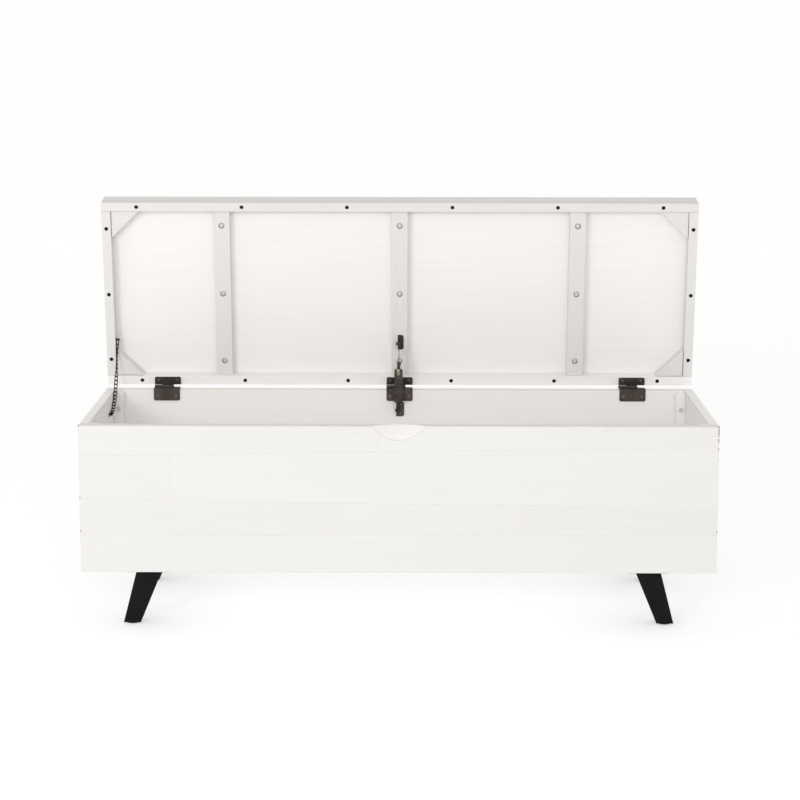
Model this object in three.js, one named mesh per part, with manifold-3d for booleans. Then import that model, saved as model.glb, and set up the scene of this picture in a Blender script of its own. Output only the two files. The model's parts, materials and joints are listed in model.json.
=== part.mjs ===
// Storage bench: a long wooden box on four splayed steel legs, with a hinged lid shown standing open.
// Millimetres, +Z up, the front of the bench faces -Y, and +X is the sitter's left, the viewer's right.
// The origin is on the floor, at the centre of the bench's bounding box with the lid open.

import * as THREE from 'three';
import { mergeVertices } from 'three/addons/utils/BufferGeometryUtils.js';
import Module from 'manifold-3d';

const wasm = await Module();
wasm.setup();

// ---------------------------------------------------------------------------------------------
// Driving dimensions
// ---------------------------------------------------------------------------------------------

const fitGap = 0.2; // glue line or paint film between pieces that meet
const runningClearance = 0.06; // radial, between a pin and the bore that turns on it
const roundSides = 16; // sides of pins and bores
const curveSteps = 4; // steps in an outline's rounded corner
const through = 1; // how far a cutting tool runs past the face it opens
const overlap = 0.1; // of two shapes that are joined into one

// Box
const boxWidth = 1219;
const boxDepth = 390;
const boxHeight = 287;
const wallThickness = 18;
const bottomThickness = 15;

// Finger pull, carved in the front panel's top edge
const pullWidth = 105;
const pullHeight = 28;
const pullSides = 96;
const pullLip = 1.5; // what the carving leaves of the panel's thickness at the inner arris

// Corner posts, which the panels are screwed to
const postWidth = 19;
const postDepth = 20;
const postDrop = 3; // below the rim
const postRound = 6;
const postScrewDrop = 39;
const postScrewInset = 8;
const postScrewRadius = 5;
const postScrewDepth = 3;

// Legs: folded steel angle, tapered and splayed sideways
const legHeight = 112; // floor to the underside of the box
const legSteel = 3;
const legTopInset = 104; // box end to the leg's outer edge, at the top
const legTopWidth = 50;
const legSplay = 28; // how far the outer edge moves out, from top to bottom
const legBottomWidth = 33;
const legSetback = 30; // box front to the leg's front face
const legPlateWidth = 80;
const legPlateDepth = 80;
const legPlateSetback = 10;
const glideHeight = 3;
const glideRadius = 13;

// Lid
const lidThickness = 60;
const lidRecess = 27; // depth of the rails under the top panel
const lidRailOverhang = 0.5; // rails are this much wider than the walls they close on
const lidEdgeRound = 6;
const lidGap = 5; // between the rim and the closed lid, at the hinges
const lidOpenAngle = THREE.MathUtils.degToRad(82);

// Plugged screw holes in the rails
const railHoleRadius = 4;
const railHoleDepth = 12;
const longRailHoles = 6;
const longRailInset = 72; // first and last hole to the lid's ends
const shortRailHoles = 3;
const shortRailInset = 55;

// Battens across the lid, and their screws
const battenWidth = 33;
const battenInset = 8; // batten's face, below the rails' edges
const battenCount = 3;
const battenEndInset = 244.5; // outer battens' middles to the lid's ends
const screwsPerBatten = 3;
const battenScrewInset = 50; // outer screws to the lid's long edges
const screwHeadRadius = 4.5;
const screwHeadCrown = 0.7; // share of the head's radius that stays flat
const screwHeadHeight = 2.5;
const screwShankRadius = 1.9;
const screwLength = 30;
const screwRecessRadius = 6;
const screwRecessDepth = 3;
const screwPilotClearance = 0.3;
const screwPilotEnd = 1; // pilot hole beyond the screw's tip

// Corner gussets
const gussetLeg = 56;
const gussetInset = 4; // gusset's face, below the rails' edges
const gussetGap = 0.8;

// Hinges
const hingeWidth = 54;
const hingeCount = 3;
const hingeInset = 125.5; // outer hinges' middles to the box's ends
const hingeSteel = 2;
const hingeCorner = 3.5;
const hingePinRadius = 1.6;
const hingePinEnd = 1; // pin beyond the knuckles
const hingeKnuckleRadius = 3.3;
const hingePinBehind = 3; // pin's axis, behind the box's rear face
const hingeDrop = 23.5; // how far the box leaf reaches down inside the back panel
const hingeLidReach = 17; // how far the lid leaf reaches over the rear rail
const hingeKnuckleGap = 0.4;
const boxKnuckleWidth = 15;
const lidKnuckleWidth = 23.5;

// Lid stay: a spring housing and a flat blade that fold at an elbow
const stayHousingLength = 98; // pivot on the box bracket to the elbow
const stayBend = 6.25; // links' lengths over the straight line between their pivots, with the lid open
const stayBoxStandoff = 12; // box pivot to the back panel's inner face
const stayBoxDrop = 41; // box pivot below the rim
const stayLidReach = 91; // lid pivot to the lid's rear edge
const stayLidDrop = 3.5; // lid pivot beyond the rails' edges
const stayPinRadius = 1.9;
const stayPinHead = 3.2;
const stayEyeRadius = 4.5;
const staySteel = 1.5;
const stayEarRadius = 5.5;
const stayHousingWidth = 17.4;
const stayHousingDepth = 14;
const stayHousingOffset = -2.1; // centre of the housing's width
const stayShellStart = 18; // from the box pivot
const stayShellTop = 6.6; // shell's round top, short of the elbow
const staySlotWidth = 6;
const staySlotOffset = -2.7;
const staySlotLength = 23; // from the elbow
const stayWebDrop = 40; // inner web that the plunger stands on, below the elbow
const plungerRadius = 2.4;
const plungerOffset = -3.1;
const plungerTop = 13; // below the elbow
const bladeLeft = -1.9; // blade's left face
const bladeSteel = 1.4;
const sideGap = 0.4; // between plates that turn against each other
const stayPadThickness = 1.8;
const stayPadRound = 5;
const boxPadLeft = -7;
const boxPadWidth = 16.5;
const boxPadAbove = 16; // pad's top edge above its pivot
const boxPadBelow = 15;
const lidPadWidth = 11.9;
const lidPadAhead = 16;
const lidPadBehind = 15.5;
const padHoleRadius = 2.2;
const padHoleReach = 0.6; // share of the pad's width and of its reach from the pivot
const earReach = 0.75; // share of the pad's reach that the ear's root takes
const elbowHeadHeight = 3;
const elbowRivetHeight = 1.1;
const boxPinHeadHeight = 2.2;
const boxPinRivetHeight = 1;
const lidPinHeadHeight = 3.6;
const bladeBossHeight = 1.4;
const rivetLip = 0.4; // between a pin's head and its riveted end, in radius

// Safety chain, at the left end
const chainLength = 194;
const chainRadius = 1.9;
const chainSides = 8;
const chainSteps = 40;
const chainStandoff = 3.2; // chain's centre, off the wood
const chainEndGap = 2.4; // chain's end to the screw that holds it
const chainBoxReach = 112; // box screw, in front of the rear face
const chainBoxDrop = 35.6; // box screw, below the rim
const chainGussetClearance = 19.2; // lid screw beyond the gusset's tip
const chainLidDepth = 12; // lid screw, below the rails' edges
const anchorShankRadius = 1.4;
const anchorWasherRadius = 4.5;
const anchorWasherThickness = 1;
const anchorHeadRadius = 3.4;
const anchorHeadStart = 5.4; // under side of the head, off the wood
const anchorHeadHeight = 2.2;
const anchorDomeHeight = 0.5;
const anchorCrown = 0.75; // share of the head's radius that its crown has
const anchorShankDepth = 12;
const anchorPilotClearance = 0.3;

// ---------------------------------------------------------------------------------------------
// Derived places, in the box's frame: z = 0 on the box's underside
// ---------------------------------------------------------------------------------------------

const halfWidth = boxWidth / 2;
const halfDepth = boxDepth / 2;
const innerHalfWidth = halfWidth - wallThickness;
const innerHalfDepth = halfDepth - wallThickness;
const hingeAxis = { y: halfDepth + hingePinBehind, z: boxHeight + lidGap / 2 };
const lidRailWidth = wallThickness + lidRailOverhang;
const longRailPitch = pitchBetween(boxWidth, longRailInset, longRailHoles);
const shortRailPitch = pitchBetween(boxDepth, shortRailInset, shortRailHoles);
const battenPitch = pitchBetween(boxWidth, battenEndInset, battenCount);
const battenScrewPitch = pitchBetween(boxDepth, battenScrewInset, screwsPerBatten);
const hingePitch = pitchBetween(boxWidth, hingeInset, hingeCount);
const chainLidReach = lidRailWidth + gussetGap + gussetLeg + chainGussetClearance;

// ---------------------------------------------------------------------------------------------
// Materials
// ---------------------------------------------------------------------------------------------

function material(color, roughness, metalness) {
  return new THREE.MeshStandardMaterial({ color, roughness, metalness });
}

const whitewash = material(0xf1efec, 0.6, 0);
const paleInterior = material(0xece9e6, 0.65, 0);
const blackSteel = material(0x1d1d1e, 0.45, 0.6);
const bronzeSteel = material(0x3a3533, 0.45, 0.7);
const zincScrew = material(0xd9d7d3, 0.4, 0.7);
const brass = material(0xb08a4a, 0.35, 0.9);
const blackNylon = material(0x18181a, 0.7, 0);

// ---------------------------------------------------------------------------------------------
// Helpers
// ---------------------------------------------------------------------------------------------

function toSolid(geometry) {
  const plain = geometry.clone();
  plain.deleteAttribute('normal');
  plain.deleteAttribute('uv');
  const merged = mergeVertices(plain, 1e-4);
  return new wasm.Manifold(new wasm.Mesh({
    numProp: 3,
    vertProperties: new Float32Array(merged.attributes.position.array),
    triVerts: new Uint32Array(merged.index.array),
  }));
}

function toGeometry(solid) {
  const mesh = solid.getMesh();
  const geometry = new THREE.BufferGeometry();
  geometry.setAttribute('position', new THREE.BufferAttribute(mesh.vertProperties, 3));
  geometry.setIndex(new THREE.BufferAttribute(mesh.triVerts, 1));
  geometry.computeVertexNormals();
  return geometry;
}

function join(...geometries) {
  return toGeometry(geometries.map(toSolid).reduce((whole, piece) => whole.add(piece)));
}

function cut(geometry, ...tools) {
  return toGeometry(tools.map(toSolid).reduce((rest, tool) => rest.subtract(tool), toSolid(geometry)));
}

function common(...geometries) {
  return toGeometry(geometries.map(toSolid).reduce((whole, piece) => whole.intersect(piece)));
}

// A block between two corners, given in either order along each axis
function block([x0, x1], [y0, y1], [z0, z1]) {
  const geometry = new THREE.BoxGeometry(Math.abs(x1 - x0), Math.abs(y1 - y0), Math.abs(z1 - z0));
  return geometry.translate((x0 + x1) / 2, (y0 + y1) / 2, (z0 + z1) / 2);
}

// Cylinders along X, Y and Z, from one coordinate to another
function rodX([x0, x1], y, z, radius) {
  const geometry = new THREE.CylinderGeometry(radius, radius, x1 - x0, roundSides);
  return geometry.rotateZ(-Math.PI / 2).translate((x0 + x1) / 2, y, z);
}

function rodY(x, [y0, y1], z, radius) {
  const geometry = new THREE.CylinderGeometry(radius, radius, y1 - y0, roundSides);
  return geometry.translate(x, (y0 + y1) / 2, z);
}

function rodZ(x, y, [z0, z1], radius) {
  const geometry = new THREE.CylinderGeometry(radius, radius, z1 - z0, roundSides);
  return geometry.rotateX(Math.PI / 2).translate(x, y, (z0 + z1) / 2);
}

// Radius at a bore's corners, so that its flats clear the pin
function boreRadius(pinRadius, clearance = runningClearance) {
  return (pinRadius + clearance) / Math.cos(Math.PI / roundSides);
}

function extrude(shape, depth) {
  return new THREE.ExtrudeGeometry(shape, { depth, bevelEnabled: false, curveSegments: curveSteps });
}

// An outline in X and Z, extruded along Y
function slabY(shape, [y0, y1]) {
  const geometry = extrude(shape, y1 - y0);
  return geometry.rotateX(Math.PI / 2).translate(0, y1, 0);
}

// An outline in Y and Z, extruded along X
function slabX(shape, [x0, x1]) {
  const geometry = extrude(shape, x1 - x0);
  const basis = new THREE.Matrix4().makeBasis(
    new THREE.Vector3(0, 1, 0),
    new THREE.Vector3(0, 0, 1),
    new THREE.Vector3(1, 0, 0),
  );
  return geometry.applyMatrix4(basis).translate(x0, 0, 0);
}

// An outline in X and Y, extruded along Z
function slabZ(shape, [z0, z1]) {
  const geometry = extrude(shape, z1 - z0);
  return geometry.translate(0, 0, z0);
}

function polygon(...points) {
  return new THREE.Shape(points.map(([u, v]) => new THREE.Vector2(u, v)));
}

// A rectangle whose four corners are rounded by their own radii, counter-clockwise from low u, low v
function roundedRect([u0, u1], [v0, v1], radii) {
  const shape = new THREE.Shape();
  const corners = [
    [u0 + radii[0], v0 + radii[0], radii[0], Math.PI],
    [u1 - radii[1], v0 + radii[1], radii[1], Math.PI * 1.5],
    [u1 - radii[2], v1 - radii[2], radii[2], 0],
    [u0 + radii[3], v1 - radii[3], radii[3], Math.PI * 0.5],
  ];
  corners.forEach(([u, v, radius, start], i) => {
    if (i === 0) {
      shape.moveTo(u + radius * Math.cos(start), v + radius * Math.sin(start));
    } else {
      shape.lineTo(u + radius * Math.cos(start), v + radius * Math.sin(start));
    }
    if (radius > 0) {
      shape.absarc(u, v, radius, start, start + Math.PI / 2, false);
    }
  });
  shape.closePath();
  return shape;
}

// A strip with round ends, from the origin up to a length
function strip(length, radius) {
  const shape = new THREE.Shape();
  shape.absarc(0, 0, radius, Math.PI, 2 * Math.PI, false);
  shape.absarc(0, length, radius, 0, Math.PI, false);
  shape.closePath();
  return shape;
}

function addPart(group, name, geometry, partMaterial) {
  const mesh = new THREE.Mesh(geometry, partMaterial);
  mesh.name = name;
  group.add(mesh);
  return mesh;
}

function pitchBetween(length, inset, count) {
  return (length - 2 * inset) / (count - 1);
}

function spread(count, pitch) {
  return Array.from({ length: count }, (_, i) => (i - (count - 1) / 2) * pitch);
}

const sides = [['left', -1], ['right', 1]];
const ends = [['front', -1], ['rear', 1]];

// ---------------------------------------------------------------------------------------------
// Box
// ---------------------------------------------------------------------------------------------

// A cylinder that slopes up into the panel, so that the pull is deep outside and ends at the inner arris
function fingerPullTool() {
  const run = wallThickness - pullLip;
  const slope = Math.atan2(pullHeight, run);
  const sagitta = pullHeight * Math.cos(slope);
  const radius = ((pullWidth / 2) ** 2 + sagitta ** 2) / (2 * sagitta);
  const length = 4 * Math.hypot(pullHeight, run);
  const tool = new THREE.CylinderGeometry(radius, radius, length, pullSides);
  tool.rotateX(slope);
  return tool.translate(
    0,
    -halfDepth + run / 2 - radius * Math.sin(slope),
    boxHeight - pullHeight / 2 + radius * Math.cos(slope),
  );
}

function frontPanel() {
  const panel = block([-halfWidth, halfWidth], [-halfDepth, -innerHalfDepth], [0, boxHeight]);
  return cut(panel, fingerPullTool());
}

function backPanel() {
  return block([-halfWidth, halfWidth], [innerHalfDepth, halfDepth], [0, boxHeight]);
}

function endPanel(side) {
  const reach = innerHalfDepth - fitGap;
  return block([side * innerHalfWidth, side * halfWidth], [-reach, reach], [0, boxHeight]);
}

function bottomPanel() {
  const width = innerHalfWidth - fitGap;
  const depth = innerHalfDepth - fitGap;
  return block([-width, width], [-depth, depth], [0, bottomThickness]);
}

function cornerPost(side, end) {
  const outer = innerHalfWidth - fitGap;
  const radii = side < 0 ? [0, 0, postRound, 0] : [0, 0, 0, postRound];
  const x = side < 0 ? [-outer, -outer + postWidth] : [outer - postWidth, outer];
  const outline = roundedRect(x, [bottomThickness + fitGap, boxHeight - postDrop], radii);
  const wall = end * (innerHalfDepth - fitGap);
  const face = wall - end * postDepth;
  const y = [Math.min(wall, face), Math.max(wall, face)];
  const bottom = face + end * postScrewDepth;
  const screwX = side * (innerHalfWidth - postScrewInset);
  const dimple = rodY(
    screwX,
    end < 0 ? [bottom, face + through] : [face - through, bottom],
    boxHeight - postScrewDrop,
    postScrewRadius,
  );
  return cut(slabY(outline, y), dimple);
}

// One leg: the front flange, a side flange along its inner edge, a top plate and a foot plate
function leg(side, end) {
  const top = -fitGap;
  const bottom = glideHeight - legHeight;
  const outerTop = halfWidth - legTopInset;
  const innerTop = outerTop - legTopWidth;
  const outerBottom = outerTop + legSplay;
  const innerBottom = outerBottom - legBottomWidth;
  const face = halfDepth - legSetback;

  const flange = slabY(
    polygon(
      [side * innerTop, top],
      [side * outerTop, top],
      [side * outerBottom, bottom],
      [side * innerBottom, bottom],
    ),
    ordered(end * face, end * (face - legSteel)),
  );
  const sideStrip = slabY(
    polygon(
      [side * innerTop, top],
      [side * (innerTop + legSteel), top],
      [side * (innerBottom + legSteel), bottom],
      [side * innerBottom, bottom],
    ),
    ordered(end * face, end * (face - legTopWidth)),
  );
  const taper = slabX(
    polygon(
      [end * face, top],
      [end * (face - legTopWidth), top],
      [end * (face - legBottomWidth), bottom],
      [end * face, bottom],
    ),
    [-halfWidth, halfWidth],
  );
  const plateCentre = (outerTop + innerTop) / 2;
  const plateFront = halfDepth - legPlateSetback;
  const topPlate = block(
    [side * (plateCentre - legPlateWidth / 2), side * (plateCentre + legPlateWidth / 2)],
    [end * plateFront, end * (plateFront - legPlateDepth)],
    [top - legSteel, top],
  );
  const footPlate = block(
    [side * (innerBottom + legSteel / 2), side * (outerBottom - legSteel / 2)],
    [end * (face - legSteel / 2), end * (face - legBottomWidth + legSteel / 2)],
    [bottom, bottom + legSteel],
  );
  return join(flange, common(sideStrip, taper), topPlate, footPlate);
}

function footGlide(side, end) {
  const outerBottom = halfWidth - legTopInset + legSplay;
  const x = side * (outerBottom - legBottomWidth / 2);
  const y = end * (halfDepth - legSetback - legBottomWidth / 2);
  return rodZ(x, y, [-legHeight, glideHeight - legHeight - fitGap], glideRadius);
}

function ordered(a, b) {
  return [Math.min(a, b), Math.max(a, b)];
}

// ---------------------------------------------------------------------------------------------
// Lid, in its own closed frame: y = 0 at its rear face, z = 0 at the rails' edges
// ---------------------------------------------------------------------------------------------

function battenScrewPlaces() {
  const along = spread(screwsPerBatten, battenScrewPitch).map((dy) => dy - halfDepth);
  return spread(battenCount, battenPitch).flatMap((x) => along.map((y) => [x, y]));
}

function lidTopPanel() {
  const round = lidEdgeRound;
  const across = roundedRect([-halfWidth, halfWidth], [lidRecess, lidThickness], [0, 0, round, round]);
  const along = roundedRect([-boxDepth, 0], [lidRecess, lidThickness], [0, 0, round, round]);
  const slab = common(slabY(across, [-boxDepth, 0]), slabX(along, [-halfWidth, halfWidth]));
  const pilotDepth = battenInset + screwRecessDepth - screwHeadHeight + screwLength + screwPilotEnd;
  const pilots = battenScrewPlaces().map(
    ([x, y]) => rodZ(x, y, [lidRecess - through, pilotDepth], screwShankRadius + screwPilotClearance),
  );
  return cut(slab, ...pilots);
}

function railHole(x, y) {
  return rodZ(x, y, [-through, railHoleDepth], railHoleRadius);
}

function longRail(end) {
  const y = end < 0 ? [-boxDepth, -boxDepth + lidRailWidth] : [-lidRailWidth, 0];
  const rail = block([-halfWidth, halfWidth], y, [0, lidRecess - fitGap]);
  const holes = spread(longRailHoles, longRailPitch).map((x) => railHole(x, (y[0] + y[1]) / 2));
  return cut(rail, ...holes);
}

function shortRail(side) {
  const inner = side * (halfWidth - lidRailWidth);
  const rail = block(
    [inner, side * halfWidth],
    [-boxDepth + lidRailWidth + fitGap, -lidRailWidth - fitGap],
    [0, lidRecess - fitGap],
  );
  const holes = spread(shortRailHoles, shortRailPitch).map(
    (dy) => railHole(side * (halfWidth - lidRailWidth / 2), dy - halfDepth),
  );
  if (side < 0) {
    const pilot = anchorPilot().translate(inner, -chainLidReach, chainLidDepth);
    return cut(rail, ...holes, pilot);
  }
  return cut(rail, ...holes);
}

function batten(x) {
  const strap = block(
    [x - battenWidth / 2, x + battenWidth / 2],
    [-boxDepth + lidRailWidth + fitGap, -lidRailWidth - fitGap],
    [battenInset, lidRecess - fitGap],
  );
  const recesses = spread(screwsPerBatten, battenScrewPitch).flatMap((dy) => [
    rodZ(x, dy - halfDepth, [battenInset - through, battenInset + screwRecessDepth], screwRecessRadius),
    rodZ(x, dy - halfDepth, [battenInset, lidRecess + through], screwShankRadius + screwPilotClearance),
  ]);
  return cut(strap, ...recesses);
}

function battenScrew(x, y) {
  const seat = battenInset + screwRecessDepth - fitGap;
  const tip = seat - screwHeadHeight + screwLength;
  const profile = [
    new THREE.Vector2(0, seat - screwHeadHeight),
    new THREE.Vector2(screwHeadRadius * screwHeadCrown, seat - screwHeadHeight),
    new THREE.Vector2(screwHeadRadius, seat - screwHeadHeight / 2),
    new THREE.Vector2(screwHeadRadius, seat),
    new THREE.Vector2(screwShankRadius, seat),
    new THREE.Vector2(screwShankRadius, tip - screwShankRadius),
    new THREE.Vector2(0, tip),
  ];
  return new THREE.LatheGeometry(profile, roundSides).rotateX(Math.PI / 2).translate(x, y, 0);
}

function gusset(side, end) {
  const x = side * (halfWidth - lidRailWidth - gussetGap);
  const edge = halfDepth - lidRailWidth - gussetGap;
  const y = end * edge - halfDepth;
  return slabZ(
    polygon([x, y], [x - side * gussetLeg, y], [x, y - end * gussetLeg]),
    [gussetInset, lidRecess - fitGap],
  );
}

// ---------------------------------------------------------------------------------------------
// Hinges, each in a frame on its own pin: y = 0 and z = 0 on the pin's axis
// ---------------------------------------------------------------------------------------------

const hingeRelief = hingeKnuckleRadius + hingeKnuckleGap; // leaves stop here, clear of the other's knuckle

function hingeSpans() {
  const boxKnuckle = [-hingeWidth / 2, -hingeWidth / 2 + boxKnuckleWidth];
  const lidKnuckle = [boxKnuckle[1] + hingeKnuckleGap, boxKnuckle[1] + hingeKnuckleGap + lidKnuckleWidth];
  return { boxKnuckle, lidKnuckle };
}

// The box leaf sits on the rim, turns down and lies against the back panel's inner face
function hingeBoxLeaf() {
  const { boxKnuckle } = hingeSpans();
  const rim = -lidGap / 2 + fitGap;
  const innerFace = -hingePinBehind - wallThickness - fitGap;
  const half = hingeWidth / 2;
  const shelf = block([-half, half], [innerFace, -hingeRelief], [rim, rim + hingeSteel]);
  const down = slabY(
    roundedRect([-half, half], [-lidGap / 2 - hingeDrop, rim + hingeSteel], [hingeCorner, hingeCorner, 0, 0]),
    [innerFace - hingeSteel, innerFace],
  );
  const tongue = block(boxKnuckle, [-hingeRelief - overlap, 0], [rim, rim + hingeSteel]);
  const knuckle = rodX(boxKnuckle, 0, 0, hingeKnuckleRadius);
  const bore = rodX([-half - through, half], 0, 0, boreRadius(hingePinRadius));
  return cut(join(shelf, down, tongue, knuckle), bore);
}

// The lid leaf lies on the rear rail's edge
function hingeLidLeaf() {
  const { lidKnuckle } = hingeSpans();
  const railEdge = lidGap / 2 - fitGap;
  const half = hingeWidth / 2;
  const plate = slabZ(
    roundedRect(
      [-half, half],
      [-hingePinBehind - hingeLidReach, -hingeRelief],
      [hingeCorner, hingeCorner, 0, 0],
    ),
    [railEdge - hingeSteel, railEdge],
  );
  const tongue = block(lidKnuckle, [-hingeRelief - overlap, 0], [railEdge - hingeSteel, railEdge]);
  const knuckle = rodX(lidKnuckle, 0, 0, hingeKnuckleRadius);
  const bore = rodX([-half, half], 0, 0, boreRadius(hingePinRadius));
  return cut(join(plate, tongue, knuckle), bore);
}

function hingePin() {
  const { lidKnuckle } = hingeSpans();
  return rodX([-hingeWidth / 2 - hingePinEnd, lidKnuckle[1] + hingePinEnd], 0, 0, hingePinRadius);
}

// ---------------------------------------------------------------------------------------------
// Lid stay
// ---------------------------------------------------------------------------------------------

// Pivots with the lid open, in the box's frame, as points in Y and Z
function stayPivots() {
  const onBox = new THREE.Vector2(innerHalfDepth - stayBoxStandoff, boxHeight - stayBoxDrop);
  const closed = new THREE.Vector2(-hingePinBehind - stayLidReach, lidGap / 2 - stayLidDrop);
  const onLid = closed.rotateAround(new THREE.Vector2(0, 0), -lidOpenAngle);
  onLid.add(new THREE.Vector2(hingeAxis.y, hingeAxis.z));
  const reach = onLid.clone().sub(onBox);
  const distance = reach.length();
  const bladeLength = distance + stayBend - stayHousingLength;
  const lean = Math.atan2(-reach.x, reach.y);
  const bend = Math.acos(
    (stayHousingLength ** 2 + distance ** 2 - bladeLength ** 2) / (2 * stayHousingLength * distance),
  );
  const housingAngle = lean + bend;
  const elbow = new THREE.Vector2(-Math.sin(housingAngle), Math.cos(housingAngle));
  elbow.multiplyScalar(stayHousingLength).add(onBox);
  const bladeAngle = Math.atan2(elbow.x - onLid.x, onLid.y - elbow.y);
  return { onBox, elbow, bladeLength, housingAngle, bladeAngle };
}

const stayTongueLeft = bladeLeft + bladeSteel + sideGap; // tongue beside the blade, at the elbow
const boxEarRight = boxPadLeft + staySteel;
const stayNeckLeft = boxEarRight + sideGap; // tongue beside the box bracket's ear

// In a frame on the box pivot, with +Z towards the elbow and -Y towards the front
function stayHousing() {
  const left = stayHousingOffset - stayHousingWidth / 2;
  const right = stayHousingOffset + stayHousingWidth / 2;
  const front = -stayHousingDepth / 2;
  const rear = stayHousingDepth / 2;
  const shellTop = stayHousingLength - stayShellTop;
  const channel = slabZ(
    polygon(
      [left, rear],
      [left, front],
      [right, front],
      [right, rear],
      [right - staySteel, rear],
      [right - staySteel, front + staySteel],
      [left + staySteel, front + staySteel],
      [left + staySteel, rear],
    ),
    [stayShellStart, shellTop],
  );
  const topRound = stayHousingWidth / 2 - 0.01;
  const roundTop = slabY(
    roundedRect([left, right], [stayShellStart - through, shellTop], [0, 0, topRound, topRound]),
    [front - through, rear + through],
  );
  const slot = block(
    [staySlotOffset - staySlotWidth / 2, staySlotOffset + staySlotWidth / 2],
    [front - through, front + staySteel + through],
    [stayHousingLength - staySlotLength, shellTop + through],
  );
  const shell = cut(common(channel, roundTop), slot);
  const bottomWeb = block([left, right], [front, rear], [stayShellStart, stayShellStart + staySteel]);
  const webStart = stayHousingLength - stayWebDrop;
  const innerWeb = block([left, right], [front, rear], [webStart, webStart + staySteel]);
  const neckLength = stayShellStart + staySteel;
  const neck = slabX(strip(neckLength, stayEyeRadius), [stayNeckLeft, stayNeckLeft + staySteel]);
  const tongueLength = stayWebDrop - stayEyeRadius;
  const tongue = slabX(strip(tongueLength, stayEyeRadius), [stayTongueLeft, stayTongueLeft + staySteel]);
  tongue.translate(0, 0, stayHousingLength - tongueLength);
  const boxBore = rodX(
    [stayNeckLeft - through, stayNeckLeft + staySteel + through],
    0,
    0,
    boreRadius(stayPinRadius),
  );
  const elbowBore = rodX(
    [stayTongueLeft - through, stayTongueLeft + staySteel + through],
    0,
    stayHousingLength,
    boreRadius(stayPinRadius),
  );
  return cut(join(shell, bottomWeb, innerWeb, neck, tongue), boxBore, elbowBore);
}

function stayPlunger() {
  return rodZ(
    plungerOffset,
    0,
    [stayHousingLength - stayWebDrop + staySteel + fitGap, stayHousingLength - plungerTop],
    plungerRadius,
  );
}

// A pin with a head at its left, and a riveted end at its right
function rivet(headLeft, headRight, tip, rivetHeight) {
  const shank = rodX([headRight - overlap, tip], 0, 0, stayPinRadius);
  const head = rodX([headLeft, headRight], 0, 0, stayPinHead);
  if (rivetHeight > 0) {
    return join(shank, head, rodX([tip - overlap, tip + rivetHeight], 0, 0, stayPinHead - rivetLip));
  }
  return join(shank, head);
}

function stayElbowPin() {
  const headRight = bladeLeft - sideGap;
  const tip = stayTongueLeft + staySteel + fitGap;
  return rivet(headRight - elbowHeadHeight, headRight, tip, elbowRivetHeight);
}

// In a frame on the elbow, with +Z towards the lid pivot
function stayBlade() {
  const bladeRight = bladeLeft + bladeSteel;
  const { bladeLength } = stayPivots();
  const blade = slabX(strip(bladeLength, stayEyeRadius), [bladeLeft, bladeRight]);
  const bore = rodX([bladeLeft - through, bladeRight + through], 0, 0, boreRadius(stayPinRadius));
  const boss = rodX([bladeRight - overlap, bladeRight + bladeBossHeight], 0, bladeLength, stayPinHead);
  return join(cut(blade, bore), boss);
}

// In the box's frame
function stayBoxBracket() {
  const { onBox } = stayPivots();
  const padFace = innerHalfDepth - fitGap - stayPadThickness;
  const pad = slabY(
    roundedRect(
      [boxPadLeft, boxPadLeft + boxPadWidth],
      [onBox.y - boxPadBelow, onBox.y + boxPadAbove],
      [0, stayPadRound, stayPadRound, 0],
    ),
    [padFace, innerHalfDepth - fitGap],
  );
  const ear = slabX(
    polygon(
      [padFace + stayPadThickness / 2, onBox.y + boxPadAbove * earReach],
      [onBox.x, onBox.y + stayEarRadius],
      [onBox.x, onBox.y - stayEarRadius],
      [padFace + stayPadThickness / 2, onBox.y - boxPadBelow * earReach],
    ),
    [boxPadLeft, boxEarRight],
  );
  const eye = rodX([boxPadLeft, boxEarRight], onBox.x, onBox.y, stayEarRadius);
  const bore = rodX(
    [boxPadLeft - through, boxEarRight + through],
    onBox.x,
    onBox.y,
    boreRadius(stayPinRadius),
  );
  const holeX = boxPadLeft + boxPadWidth * padHoleReach;
  const holes = [onBox.y + boxPadAbove * padHoleReach, onBox.y - boxPadBelow * padHoleReach].map(
    (z) => rodY(holeX, [padFace - through, innerHalfDepth], z, padHoleRadius),
  );
  return cut(join(pad, ear, eye), bore, ...holes);
}

function stayBoxPin() {
  const { onBox } = stayPivots();
  const tip = stayNeckLeft + staySteel + sideGap;
  const headRight = boxPadLeft - fitGap;
  const pin = rivet(headRight - boxPinHeadHeight, headRight, tip, boxPinRivetHeight);
  return pin.translate(0, onBox.x, onBox.y);
}

const lidEarRight = bladeLeft - sideGap;
const lidPadLeft = lidEarRight - staySteel;

// In the lid's closed frame
function stayLidBracket() {
  const padTop = battenInset - fitGap;
  const padFace = padTop - stayPadThickness;
  const pad = slabZ(
    roundedRect(
      [lidPadLeft, lidPadLeft + lidPadWidth],
      [-stayLidReach - lidPadAhead, -stayLidReach + lidPadBehind],
      [0, stayPadRound, stayPadRound, 0],
    ),
    [padFace, padTop],
  );
  const ear = slabX(
    polygon(
      [-stayLidReach - lidPadAhead * earReach, padFace + stayPadThickness / 2],
      [-stayLidReach - stayEarRadius, -stayLidDrop],
      [-stayLidReach + stayEarRadius, -stayLidDrop],
      [-stayLidReach + lidPadBehind * earReach, padFace + stayPadThickness / 2],
    ),
    [lidPadLeft, lidEarRight],
  );
  const eye = rodX([lidPadLeft, lidEarRight], -stayLidReach, -stayLidDrop, stayEarRadius);
  const bore = rodX(
    [lidPadLeft - through, lidEarRight + through],
    -stayLidReach,
    -stayLidDrop,
    boreRadius(stayPinRadius),
  );
  const holeX = lidPadLeft + lidPadWidth * padHoleReach;
  const holes = [-stayLidReach - lidPadAhead * padHoleReach, -stayLidReach + lidPadBehind * padHoleReach].map(
    (y) => rodZ(holeX, y, [padFace - through, padTop + through], padHoleRadius),
  );
  return cut(join(pad, ear, eye), bore, ...holes);
}

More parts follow.
